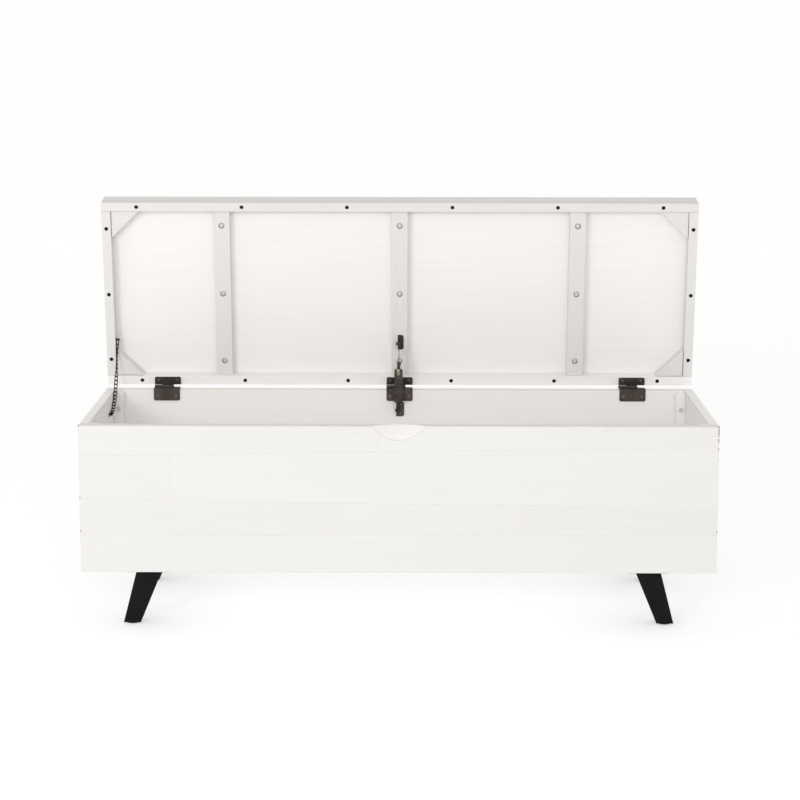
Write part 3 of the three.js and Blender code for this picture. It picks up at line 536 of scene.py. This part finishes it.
POWDER = metal(
    "black_powder_coat", "#0B0B0C", "#111112", 0.0, 0.5, 0.9 * MM, 0.05 * MM, patch=0.05, gloss=0.12,
)
BRONZE = metal("antique_bronze_plate", "#4B4541", "#5D5551", 0.85, 0.42, 0.8 * MM, 0.04 * MM, patch=0.03)
RUBBED = metal("rubbed_bronze", "#6B635E", "#8A827C", 0.85, 0.36, 0.6 * MM, 0.03 * MM, patch=0.004)
DARK_ZINC = metal("blackened_screw", "#1D1A19", "#2A2725", 0.6, 0.5, 0.6 * MM, 0.03 * MM, patch=0.01)
BRASS = metal("turned_brass", "#EAD2A8", "#F0DDB8", 0.6, 0.3, 0.7 * MM, 0.03 * MM, patch=0.01)
OVERPAINT = metal("oversprayed_zinc", "#DEDBD8", "#C4C1BE", 0.15, 0.45, 0.8 * MM, 0.05 * MM, patch=0.004)
# Bare wood in the rail holes, darkened past its own tone by painted shade.
BORED_WOOD_AND_SHADE = metal(
    "bored_bare_wood_and_painted_shade", "#3A2A20", "#52402F", 0.0, 0.8, 1.2 * MM, 0.1 * MM, patch=0.006, gloss=0.2,
)
NYLON = metal("black_nylon", "#161617", "#1E1E1F", 0.0, 0.6, 0.5 * MM, 0.04 * MM, patch=0.01)
# A grey in the battens' counterbores: painted shade that darkens the ring around each screw.
COUNTERBORE_SHADE = metal(
    "painted_shade_in_counterbore", "#A8A29C", "#8E877F", 0.0, 0.7, 1.0 * MM, 0.08 * MM, patch=0.004, gloss=0.2,
)
print("metals, bored wood and nylon")

# %% [markdown]
# ## Boards glued up from staves
# Each outer board is rows of staves with staggered butt joints. It starts as one block. Its outer face is cut
# along the rows, each row is cut at its butts, and every stave is inset and raised a little, so a fine V-groove
# is left at each joint. The rows run slightly out of true, as ripped hardwood does.

# %% Stave cutting
GROOVE = 0.8 * MM
RELIEF = 0.45 * MM
ARRIS = 0.9 * MM
SQUARE_ON = 0.95
STAVE_TONES = (0.32, 0.68)
# The places of a board's materials: its face, its arrises, its inner side, the finger pull and the pull's rim.
ARRIS_PLACE, INNER_PLACE, PULL_PLACE, RIM_PLACE = 1, 2, 3, 4
chance = random.Random(12)


def outer_faces(bm):
    return [f for f in bm.faces if f.normal.y < -SQUARE_ON]


def split(bm, faces, point, normal):
    """Cut only these faces by a plane."""
    parts = {*faces, *(e for f in faces for e in f.edges), *(v for f in faces for v in f.verts)}
    bmesh.ops.bisect_plane(bm, geom=list(parts), dist=1e-7, plane_co=point, plane_no=normal)


def glued_board(length, height, thickness, rows, butts):
    """Outer face at y = 0, inner face at y = thickness, underside at z = 0.

    Each row is the height of a joint at the left and at the right; butts are the x of each row's butt joints.
    """
    bm = block((length, thickness - RELIEF, height), (0, (thickness + RELIEF) / 2, height / 2))
    for left, right in rows:
        normal = Vector((left - right, 0, length)).normalized()
        split(bm, outer_faces(bm), (-length / 2, 0, left), normal)
    lines = [(0, 0), *rows, (height, height)]
    for row, places in enumerate(butts):
        for x in places:
            share = x / length + 0.5
            low, high = (a + (b - a) * share for a, b in (lines[row], lines[row + 1]))
            inside = [
                f for f in outer_faces(bm)
                if low < f.calc_center_median().z < high
                and min(v.co.x for v in f.verts) < x < max(v.co.x for v in f.verts)
            ]
            split(bm, inside, (x, 0, 0), (1, 0, 0))
    tone = bm.faces.layers.float.new("stave")
    staves = outer_faces(bm)
    for face in bm.faces:
        face[tone] = 0.5
    middles = {f: f.calc_center_median() for f in staves}
    for face in sorted(staves, key=lambda f: (round(middles[f].z, 3), middles[f].x)):
        face[tone] = chance.uniform(*STAVE_TONES)
    bmesh.ops.inset_individual(
        bm, faces=staves, thickness=GROOVE, depth=RELIEF, use_even_offset=True,
    )
    for face in bm.faces:
        if face.normal.y > SQUARE_ON:
            face.material_index = INNER_PLACE
    return bm, len(staves)


print("groove", GROOVE / MM, "mm, relief", RELIEF / MM, "mm")

# %% [markdown]
# ## Front board and its finger pull
# The front is four rows of staves. A shallow scoop in its top edge lets fingers under the lid. The scoop is a
# slanting cylinder taken out of the board, so it is deep outside and dies away at the inner arris. Its rim is
# rounded first, with its own rubbed finish, and then every other arris.

# %% Front board
PULL_WIDTH, PULL_HEIGHT, PULL_LIP = 105 * MM, 28 * MM, 1.5 * MM
PULL_SEGMENTS = 192
front_low, front_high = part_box("front_panel")
BOARD = front_high.y - front_low.y
BOX_HEIGHT = front_high.z - front_low.z
BOX_WIDTH = front_high.x - front_low.x


def pull_tool():
    run = BOARD - PULL_LIP
    slope = math.atan2(PULL_HEIGHT, run)
    rise = PULL_HEIGHT * math.cos(slope)
    radius = ((PULL_WIDTH / 2) ** 2 + rise ** 2) / (2 * rise)
    tool = bmesh.new()
    bmesh.ops.create_cone(
        tool, cap_ends=True, segments=PULL_SEGMENTS, radius1=radius, radius2=radius,
        depth=4 * math.hypot(PULL_HEIGHT, run),
    )
    bmesh.ops.rotate(tool, matrix=Matrix.Rotation(math.pi / 2 + slope, 3, "X"), verts=tool.verts)
    middle = (
        0, run / 2 - radius * math.sin(slope), BOX_HEIGHT - PULL_HEIGHT / 2 + radius * math.cos(slope),
    )
    bmesh.ops.translate(tool, vec=middle, verts=tool.verts)
    return tool


front_rows = [(72 * MM, 75 * MM), (143 * MM, 128 * MM), (228 * MM, 246 * MM)]
front_butts = [[-0.242, 0.514], [-0.119, 0.234], [-0.435, 0.082, 0.44], [-0.374, -0.037, 0.33]]
front, front_staves = glued_board(BOX_WIDTH, BOX_HEIGHT, BOARD, front_rows, front_butts)
front = carved(front, pull_tool())
# The scoop's faces are near the top and slope outwards and upwards.
for face in front.faces:
    high_up = face.calc_center_median().z > BOX_HEIGHT - PULL_HEIGHT * 1.1
    if high_up and 0.2 < -face.normal.y < 0.98 and face.normal.z > 0.2:
        face.material_index = PULL_PLACE


def pull_rim(edge):
    """Whether an edge lies between the finger pull and the board's outer face."""
    a, b = sorted(edge.link_faces, key=lambda f: f.material_index == PULL_PLACE)
    return b.material_index == PULL_PLACE != a.material_index and a.normal.y < -SQUARE_ON


soften(front, ARRIS, material=RIM_PLACE, limit=20, keep=pull_rim)
soften(front, ARRIS, material=ARRIS_PLACE, limit=55)
bmesh.ops.translate(front, vec=(0, front_low.y, front_low.z), verts=front.verts)
# The finger pull takes the lighter wash and the inner face the whiter paint, both painted light.
finish_piece(
    front, "front_board", [WASH_X, WORN_X, SPRAY_PAINTED_LIGHT_X, PULL_PAINTED_LIGHT, PULL_EDGE], "box", ["front_panel"],
)
print("front board of", front_staves, "staves")

# %% [markdown]
# ## Back board and ends
# The back and the two ends are the same kind of board. They are built facing the front, then turned into place.
# Their top edges and inner faces take the whiter paint, which is painted light.

# %% Back and end boards
def turned_board(name, panel, width, turn, rows, butts, finish):
    low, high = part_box(panel)
    middle = (low + high) / 2
    bm, staves = glued_board(width, BOX_HEIGHT, BOARD, rows, butts)
    for face in bm.faces:
        if face.normal.z > SQUARE_ON:
            face.material_index = INNER_PLACE
    soften(bm, ARRIS, material=ARRIS_PLACE, limit=55)
    bmesh.ops.translate(bm, vec=(0, -BOARD / 2, 0), verts=bm.verts)
    bmesh.ops.rotate(bm, matrix=Matrix.Rotation(turn, 3, "Z"), verts=bm.verts)
    bmesh.ops.translate(bm, vec=(middle.x, middle.y, low.z), verts=bm.verts)
    finish_piece(bm, name, finish, "box", [panel])
    return staves


end_low, end_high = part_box("left_end_panel")
END_WIDTH = end_high.y - end_low.y
back_rows = [(66 * MM, 70 * MM), (141 * MM, 136 * MM), (214 * MM, 219 * MM)]
back_butts = [[-0.31, 0.22], [0.05, 0.47], [-0.42, -0.02, 0.36], [-0.2, 0.3]]
end_rows = [(70 * MM, 68 * MM), (139 * MM, 143 * MM), (221 * MM, 215 * MM)]
left_butts, right_butts = [[0.06], [], [-0.07], []], [[], [0.08], [], [-0.03]]
along, across = [WASH_X, WORN_X, SPRAY_PAINTED_LIGHT_X], [WASH_Y, WORN_Y, SPRAY_PAINTED_LIGHT_Y]
quarter = math.pi / 2
stave_counts = [
    turned_board(f"{side}_board", f"{side}_panel", width, turn, rows, butts, finish)
    for side, width, turn, rows, butts, finish in (
        ("back", BOX_WIDTH, math.pi, back_rows, back_butts, along),
        ("left_end", END_WIDTH, -quarter, end_rows, left_butts, across),
        ("right_end", END_WIDTH, quarter, end_rows, right_butts, across),
    )
]
print("staves in the back and the ends", stave_counts)

# %% [markdown]
# ## Lid board
# The seat is a thick board of five rows with rounded upper edges. The rounding is what the board shares with a
# rounded block, so it runs across the joints as a routed edge does. The board is built upright, laid down closed
# and then swung open about the hinge, as the frame has it.

# %% Lid board
LID_OPEN = math.radians(82)
PIN_BEHIND = 3 * MM
HALF_GAP = 2.5 * MM
LID_DEPTH, LID_THICKNESS, LID_RECESS = 390 * MM, 60 * MM, 27 * MM
LID_ROUND = 6 * MM
LID_BOARD = LID_THICKNESS - LID_RECESS
lid_place = (
    Matrix.Translation(joint_at["lid_hinge"])
    @ Matrix.Rotation(-LID_OPEN, 4, "X")
    @ Matrix.Translation((0, -PIN_BEHIND, HALF_GAP))
)

lid_rows = [(76 * MM, 80 * MM), (156 * MM, 152 * MM), (231 * MM, 236 * MM), (313 * MM, 309 * MM)]
lid_butts = [[-0.208, 0.187], [0.02, 0.4], [-0.4, 0.25], [-0.12, 0.34], [-0.33, 0.1]]
lid, lid_staves = glued_board(BOX_WIDTH, LID_DEPTH, LID_BOARD, lid_rows, lid_butts)
rounded = block((BOX_WIDTH, LID_BOARD, LID_DEPTH), (0, LID_BOARD / 2, LID_DEPTH / 2))
soften(rounded, LID_ROUND, segments=5, keep=lambda e: all(v.co.y < RELIEF for v in e.verts))
lid = carved(lid, rounded, "INTERSECT")
lie_down = Matrix.Translation((0, -LID_DEPTH, LID_THICKNESS)) @ Matrix.Rotation(-math.pi / 2, 4, "X")
bmesh.ops.transform(lid, matrix=lid_place @ lie_down, verts=lid.verts)
# The underside takes the whiter paint, painted light for the shade under the lid.
finish_piece(lid, "lid_board", [WASH_X, WORN_X, SPRAY_PAINTED_LIGHT_X], "lid", ["lid_top_panel"])
print("lid board of", lid_staves, "staves, swung open", round(math.degrees(LID_OPEN)), "degrees")

# %% [markdown]
# ## Sprayed parts
# Rails and battens are strips with rounded edges, bored for their screws after the rounding, so each hole keeps
# a crisp rim. The rails' outer sides are whitewashed with the lid. Gussets, posts and the bottom have the right
# shape in the frame already. A merged copy of each gets the small radius that sanding leaves on every edge.

# %% Plugged screw holes
HALF_WIDTH = BOX_WIDTH / 2
RAIL = 18.5 * MM
LONG_INSET, SHORT_INSET = 72 * MM, 55 * MM


def spread(count, reach):
    """Even places from one side of the middle to the other."""
    return [-reach + 2 * reach * i / (count - 1) for i in range(count)]


long_bores = [
    (x, y) for y in (-RAIL / 2, -LID_DEPTH + RAIL / 2) for x in spread(6, HALF_WIDTH - LONG_INSET)
]
short_bores = [
    (x, y - LID_DEPTH / 2) for x in (-HALF_WIDTH + RAIL / 2, HALF_WIDTH - RAIL / 2)
    for y in spread(3, LID_DEPTH / 2 - SHORT_INSET)
]
bores = long_bores + short_bores
print(len(bores), "holes in the rails")

# %% Rails, battens, gussets, posts and bottom
SANDED = 0.8 * MM


def softened_copy(name, node_name, material, body, width=SANDED, segments=2, limit=35):
    bm = cad_copy(node_name)
    soften(bm, width, segments=segments, limit=limit)
    finish_piece(bm, name, [material], body, [node_name])


def bored_strip(name, low, high, spots, bore, materials, outward=None):
    """A strip under the lid, from one corner to the other with the lid closed, bored from below.

    A bore is its radius and depth. The materials are the strip's, the bores' and, where a side faces outward,
    that side's.
    """
    radius, depth = bore
    bm = block(high - low, (low + high) / 2)
    soften(bm, SANDED)
    tool = bmesh.new()
    for x, y in spots:
        ring = bmesh.ops.create_cone(
            tool, cap_ends=True, segments=32, radius1=radius, radius2=radius, depth=2 * depth,
        )
        bmesh.ops.translate(tool, vec=(x, y, low.z), verts=ring["verts"])
    bm = carved(bm, tool)
    # Faces inside a bore take the second material, which darkens the bore with painted shade.
    for face in bm.faces:
        inside = any(
            all(math.hypot(v.co.x - x, v.co.y - y) < radius + BORE_MARGIN for v in face.verts)
            for x, y in spots
        )
        face.material_index = 1 if inside else 0
        if outward and face.normal.dot(outward) > 0.5:
            face.material_index = 2
    bmesh.ops.transform(bm, matrix=lid_place, verts=bm.verts)
    finish_piece(bm, name, materials, "lid", [f"lid_{name}"])


FIT_GAP = 0.2 * MM
STRIP_TOP = LID_RECESS - FIT_GAP
# The rail holes show bare wood darkened with painted shade.
RAIL_BORE = (4 * MM, 12 * MM)
BORE_MARGIN = 0.1 * MM
# The rear rail takes the whiter paint: painted light that lifts it out of the shade by the hinge; the front rail
# the plain spray.
for end, y, out, sprayed_paint in (("front", -LID_DEPTH, -1, SPRAY_X), ("rear", -RAIL, 1, SPRAY_PAINTED_LIGHT_X)):
    bored_strip(
        f"rail_{end}", Vector((-HALF_WIDTH, y, 0)), Vector((HALF_WIDTH, y + RAIL, STRIP_TOP)),
        [spot for spot in long_bores if y < spot[1] < y + RAIL], RAIL_BORE,
        [sprayed_paint, BORED_WOOD_AND_SHADE, WASH_X], Vector((0, out, 0)),
    )
SHORT_LOW, SHORT_HIGH = -LID_DEPTH + RAIL + FIT_GAP, -RAIL - FIT_GAP
for side, x, out in (("left", -HALF_WIDTH, -1), ("right", HALF_WIDTH - RAIL, 1)):
    bored_strip(
        f"rail_{side}", Vector((x, SHORT_LOW, 0)), Vector((x + RAIL, SHORT_HIGH, STRIP_TOP)),
        [spot for spot in short_bores if x < spot[0] < x + RAIL], RAIL_BORE,
        [SPRAY_Z, BORED_WOOD_AND_SHADE, WASH_Y], Vector((out, 0, 0)),
    )
BATTEN_HALF, BATTEN_FACE = 16.5 * MM, 8 * MM
BATTEN_BORE = (6 * MM, 3 * MM)
batten_screw_rows = (("front", -0.145), ("middle", 0), ("rear", 0.145))
battens = (("left", -0.365), ("centre", 0), ("right", 0.365))
# The battens' counterbores take the grey painted shade.
for place, x in battens:
    bored_strip(
        f"batten_{place}", Vector((x - BATTEN_HALF, SHORT_LOW, BATTEN_FACE)),
        Vector((x + BATTEN_HALF, SHORT_HIGH, STRIP_TOP)),
        [(x, y - LID_DEPTH / 2) for _, y in batten_screw_rows], BATTEN_BORE, [SPRAY_Z, COUNTERBORE_SHADE],
    )
corners = [f"{end}_{side}" for end in ("front", "rear") for side in ("left", "right")]
# Posts and the bottom take the whiter paint, painted light for the inside of the box; gussets the plain spray.
for corner in corners:
    softened_copy(f"gusset_{corner}", f"lid_gusset_{corner}", SPRAY_X, "lid")
    softened_copy(f"post_{corner}", f"corner_post_{corner}", SPRAY_PAINTED_LIGHT_Z, "box")
softened_copy("bottom_board", "bottom_panel", SPRAY_PAINTED_LIGHT_X, "box")
print("16 sprayed parts")

# %% [markdown]
# ## Legs and glides
# Each leg is folded steel sheet with a plate welded on top. Powder coat rounds every edge, so the copies get a
# radius of their own, a little smaller than the wood's.

# %% Legs and glides
COATED, MOULDED = 0.7 * MM, 0.5 * MM
for corner in corners:
    softened_copy(f"steel_leg_{corner}", f"leg_{corner}", POWDER, "box", COATED)
    softened_copy(f"glide_{corner}", f"foot_glide_{corner}", NYLON, "box", MOULDED)
print("4 legs, 4 glides")

# %% [markdown]
# ## Hanging the chain
# The chain is one mesh of links, set where it hangs with the lid open, and it stands for the frame's chain.

# %% Chain in place
chain_mesh = bpy.data.meshes.new("safety_chain")
chain_bm.to_mesh(chain_mesh)
chain_bm.free()
chain_mesh.materials.append(DARK_ZINC)
chain_mesh.shade_smooth()
chain_piece = bpy.data.objects.new("safety_chain", chain_mesh)
bpy.context.scene.collection.objects.link(chain_piece)
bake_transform(chain_piece)
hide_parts("chain")
print("chain hung")

# %% [markdown]
# ## Screws
# A pan head is a short cylinder with a rolled rim and a cross cut into it. The same head at four sizes serves the
# hinges, the holes in the rails, the battens and posts, and the stay's pads.

# %% Screw head
def screw_head(radius, height, slot_width):
    """Cross head, its seat at z = 0 and facing +Z."""
    head = bmesh.new()
    bmesh.ops.create_cone(
        head, cap_ends=True, segments=32, radius1=radius, radius2=radius, depth=height,
    )
    bmesh.ops.translate(head, vec=(0, 0, height / 2), verts=head.verts)
    rim = [e for e in head.edges if all(v.co.z > height * 0.9 for v in e.verts)]
    bmesh.ops.bevel(
        head, geom=rim, offset=height * 0.7, offset_type="OFFSET", affect="EDGES", segments=4, profile=0.5,
        material=-1, clamp_overlap=True,
    )
    for size in ((radius * 1.15, slot_width, height), (slot_width, radius * 1.15, height)):
        head = carved(head, block(size, (0, 0, height * 0.95)))
    mesh = bpy.data.meshes.new("head")
    head.to_mesh(mesh)
    head.free()
    return mesh


def set_screws(name, head, places, material, body, stands_for=()):
    """One piece of several screws; each place is (point, facing, turn in degrees)."""
    bm = bmesh.new()
    for point, facing, turn in places:
        look = Vector(facing).to_track_quat("Z", "Y").to_matrix().to_4x4()
        spin = Matrix.Rotation(math.radians(turn), 4, "Z")
        stamp(bm, head, Matrix.Translation(point) @ look @ spin)
    finish_piece(bm, name, [material], body, stands_for, sharp=30)


def any_turn():
    return chance.uniform(0, 90)


hinge_head = screw_head(3.1 * MM, 1.0 * MM, 0.9 * MM)
plug_head = screw_head(3.8 * MM, 1.4 * MM, 1.2 * MM)
batten_head = screw_head(4.5 * MM, 1.6 * MM, 1.3 * MM)
small_head = screw_head(2.0 * MM, 0.8 * MM, 0.7 * MM)
print("four sizes of screw head")

# %% [markdown]
# The lid's places are easiest to name with the lid lying closed, so one matrix swings them open with it.

# %% Screws in the lid
lid_down = lid_place.to_3x3() @ Vector((0, 0, -1))


def on_lid(x, y, z):
    return lid_place @ Vector((x, y, z))


PLUG_DEPTH = 3.4 * MM
plug_places = [(on_lid(x, y, PLUG_DEPTH), lid_down, any_turn()) for x, y in bores]
set_screws("rail_screws", plug_head, plug_places, DARK_ZINC, "lid")

for place, x in battens:
    for row, y in batten_screw_rows:
        spot = on_lid(x, y - LID_DEPTH / 2, BATTEN_FACE + BATTEN_BORE[1])
        set_screws(
            f"batten_head_{place}_{row}", batten_head, [(spot, lid_down, any_turn())], OVERPAINT,
            "lid", [f"batten_screw_{place}_{row}"],
        )
print(len(plug_places), "rail screws and 9 batten screws")

# %% [markdown]
# Each corner post is held by a screw that sits in a shallow bore, a little below the rim.

# %% Screws in the posts
POST_SCREW_DROP, POST_SCREW_INSET, POST_SCREW_DEPTH = 39 * MM, 8 * MM, 3 * MM
POST_SCREW_TURN = 30
post_screw_x = HALF_WIDTH - BOARD - POST_SCREW_INSET
post_screws = []
for side in (-1, 1):
    for end, facing, face in (("front", 1, 1), ("rear", -1, 0)):
        bore_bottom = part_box(f"corner_post_{end}_right")[face].y - facing * POST_SCREW_DEPTH
        spot = (side * post_screw_x, bore_bottom, front_high.z - POST_SCREW_DROP)
        post_screws.append((spot, (0, facing, 0), POST_SCREW_TURN))
set_screws("post_screws", batten_head, post_screws, OVERPAINT, "box")
print(len(post_screws), "post screws")

# %% [markdown]
# ## Hinges
# Each butt hinge is two pressed leaves and a pin. The leaves have their shape from the frame; the copies get the
# rolled edges of pressed steel, and their screws sit near the free corners.

# %% Hinges
HINGE_SCREW_REACH = 19 * MM
BOX_SCREW_RISE, LID_SCREW_INSET = 9.7 * MM, 10 * MM
LEAF_STEEL = 2 * MM
HEAD_SUNK = 0.4 * MM
LEAF_ROUND, PIN_ROUND = 0.5 * MM, 0.4 * MM
for place, x in (("left", -0.484), ("centre", 0), ("right", 0.484)):
    for part, body, width in (("box_leaf", "box", LEAF_ROUND), ("lid_leaf", "lid", LEAF_ROUND),
                              ("pin", "box", PIN_ROUND)):
        softened_copy(f"{part}_{place}", f"hinge_{part}_{place}", BRONZE, body, width, 3)
    across_leaf = (x - HINGE_SCREW_REACH, x + HINGE_SCREW_REACH)
    leaf_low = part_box(f"hinge_box_leaf_{place}")[0]
    spots = [Vector((screw_x, leaf_low.y, leaf_low.z + BOX_SCREW_RISE)) for screw_x in across_leaf]
    set_screws(
        f"box_leaf_screws_{place}", hinge_head, [(spot, (0, -1, 0), any_turn()) for spot in spots],
        RUBBED, "box",
    )
    spots = [on_lid(screw_x, -LID_SCREW_INSET, HEAD_SUNK - LEAF_STEEL) for screw_x in across_leaf]
    set_screws(
        f"lid_leaf_screws_{place}", hinge_head, [(spot, lid_down, any_turn()) for spot in spots],
        RUBBED, "lid",
    )
print("3 hinges with 12 screws")

# %% [markdown]
# ## Folding stay
# The stay is a pressed channel with a sprung brass plunger, and a thin blade that folds into it. Each end turns
# in a small bracket held by two screws. The blade's rounded foot is the hull of two discs, softened.

# %% Stay
PRESSED = 0.3 * MM
stay_parts = [
    ("stay_box_bracket", "box", BRONZE), ("stay_box_pin", "box", BRONZE), ("stay_lid_bracket", "lid", BRONZE),
    ("stay_lid_pin", "lid", BRONZE), ("stay_housing", "stay_housing", BRONZE),
    ("stay_plunger", "stay_housing", BRASS), ("stay_elbow_pin", "stay_housing", BRONZE),
    ("stay_blade", "stay_blade", BRONZE), ("chain_box_anchor", "box", DARK_ZINC),
    ("chain_lid_anchor", "lid", DARK_ZINC),
]
for source, body, material in stay_parts:
    softened_copy(f"pressed_{source}", source, material, body, PRESSED, 3, limit=40)
print(len(stay_parts), "small metal parts")

# %% Stay's foot
CAM_ROUND, CAM_TAIL, CAM_REACH = 5.2 * MM, 3.4 * MM, 7.6 * MM
CAM_WIDTH, CAM_X, CAM_SOFT = 4.8 * MM, -2.7 * MM, 0.4 * MM
elbow = joint_at["stay_elbow"]
cam = bmesh.new()
for radius, drop in ((CAM_ROUND, 0), (CAM_TAIL, CAM_REACH)):
    ring = bmesh.ops.create_cone(
        cam, cap_ends=True, segments=32, radius1=radius, radius2=radius, depth=CAM_WIDTH,
    )
    bmesh.ops.rotate(cam, matrix=Matrix.Rotation(math.pi / 2, 3, "Y"), verts=ring["verts"])
    bmesh.ops.translate(cam, vec=(CAM_X, elbow.y, elbow.z - drop), verts=ring["verts"])
hull = bmesh.ops.convex_hull(cam, input=cam.verts)
bmesh.ops.delete(cam, geom=list({*hull["geom_interior"], *hull["geom_unused"]}), context="VERTS")
bmesh.ops.dissolve_limit(cam, angle_limit=math.radians(1), verts=cam.verts, edges=cam.edges)
soften(cam, CAM_SOFT)
finish_piece(cam, "stay_cam", [BRONZE], "stay_blade")
print("foot", round(CAM_ROUND + CAM_REACH + CAM_TAIL, 4), "m long")

# %% Stay's screws
PAD_STEEL, PAD_HEAD_SUNK = 1.8 * MM, 0.4 * MM
BOX_PAD_X, BOX_PAD_HOLES = 2.9 * MM, (9.6 * MM, -9 * MM)
LID_PAD_X, LID_PAD_REACH, LID_PAD_RISE = 3.34 * MM, 91 * MM, 6.6 * MM
LID_PAD_HOLES = (-9.6 * MM, 9.3 * MM)
pad_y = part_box("stay_box_bracket")[1].y - PAD_STEEL + PAD_HEAD_SUNK
pivot_z = joint_at["stay_box_pivot"].z
set_screws(
    "stay_box_screws", small_head,
    [((BOX_PAD_X, pad_y, pivot_z + rise), (0, -1, 0), any_turn()) for rise in BOX_PAD_HOLES],
    RUBBED, "box",
)
set_screws(
    "stay_lid_screws", small_head,
    [(on_lid(LID_PAD_X, reach - LID_PAD_REACH, LID_PAD_RISE), lid_down, any_turn()) for reach in LID_PAD_HOLES],
    BRONZE, "lid",
)
print("4 stay screws")

# %% [markdown]
# ## Plain studio
# A pale floor sweeps up into a wall, as a paper roll does, and glows a little so that it stays nearly white. A
# softbox stands low on the left, a wide fill stands in front, and white surroundings give the rest, so the shadows
# stay short and light. The plain view transform keeps near-white wood near white.

# %% Floor and light
bpy.context.scene.view_settings.view_transform = "Standard"
FLOOR_REACH, WALL_HEIGHT, COVE = 9.0, 8.0, 3.0
FLOOR_GLOW, SKY_STRENGTH = 0.46, 0.77
floor_mesh = bpy.data.meshes.new("floor")
floor_bm = bmesh.new()
bmesh.ops.create_grid(floor_bm, x_segments=1, y_segments=1, size=FLOOR_REACH)
rear = [e for e in floor_bm.edges if all(v.co.y > 0 for v in e.verts)]
wall = bmesh.ops.extrude_edge_only(floor_bm, edges=rear)["geom"]
wall_top = [v for v in wall if isinstance(v, bmesh.types.BMVert)]
bmesh.ops.translate(floor_bm, vec=(0, 0, WALL_HEIGHT), verts=wall_top)
bmesh.ops.bevel(
    floor_bm, geom=rear, offset=COVE, offset_type="OFFSET", affect="EDGES", segments=24, profile=0.5,
    material=-1,
)
bmesh.ops.recalc_face_normals(floor_bm, faces=floor_bm.faces)
floor_bm.to_mesh(floor_mesh)
floor_bm.free()
floor_mesh.shade_smooth()
floor_paint, _, floor_surface = new_material("pale_floor")
floor_surface.inputs["Base Color"].default_value = paint("#CDCDCD")
floor_surface.inputs["Roughness"].default_value = 0.9
floor_surface.inputs["Emission Color"].default_value = (1, 1, 1, 1)
floor_surface.inputs["Emission Strength"].default_value = FLOOR_GLOW
floor_mesh.materials.append(floor_paint)
floor = bpy.data.objects.new("floor", floor_mesh)
bpy.context.scene.collection.objects.link(floor)

world = bpy.data.worlds.new("studio")
bpy.context.scene.world = world
world.use_nodes = True
backdrop = world.node_tree.nodes["Background"]
backdrop.inputs["Color"].default_value = paint("#FFFEFD")
backdrop.inputs["Strength"].default_value = SKY_STRENGTH


def soft_light(name, place, aim, size, power):
    data = bpy.data.lights.new(name, "AREA")
    data.shape, data.size, data.size_y, data.energy = "RECTANGLE", size[0], size[1], power
    lamp = bpy.data.objects.new(name, data)
    bpy.context.scene.collection.objects.link(lamp)
    lamp.location = place
    lamp.rotation_euler = (Vector(aim) - Vector(place)).to_track_quat("-Z", "Y").to_euler()


BENCH_MIDDLE = (0, 0.1, 0.5)
soft_light("key", (-2.2, -4.2, 1.6), BENCH_MIDDLE, (1.2, 1.0), 48)
soft_light("fill", (0.3, -5.2, 2.3), BENCH_MIDDLE, (3.2, 1.4), 46)
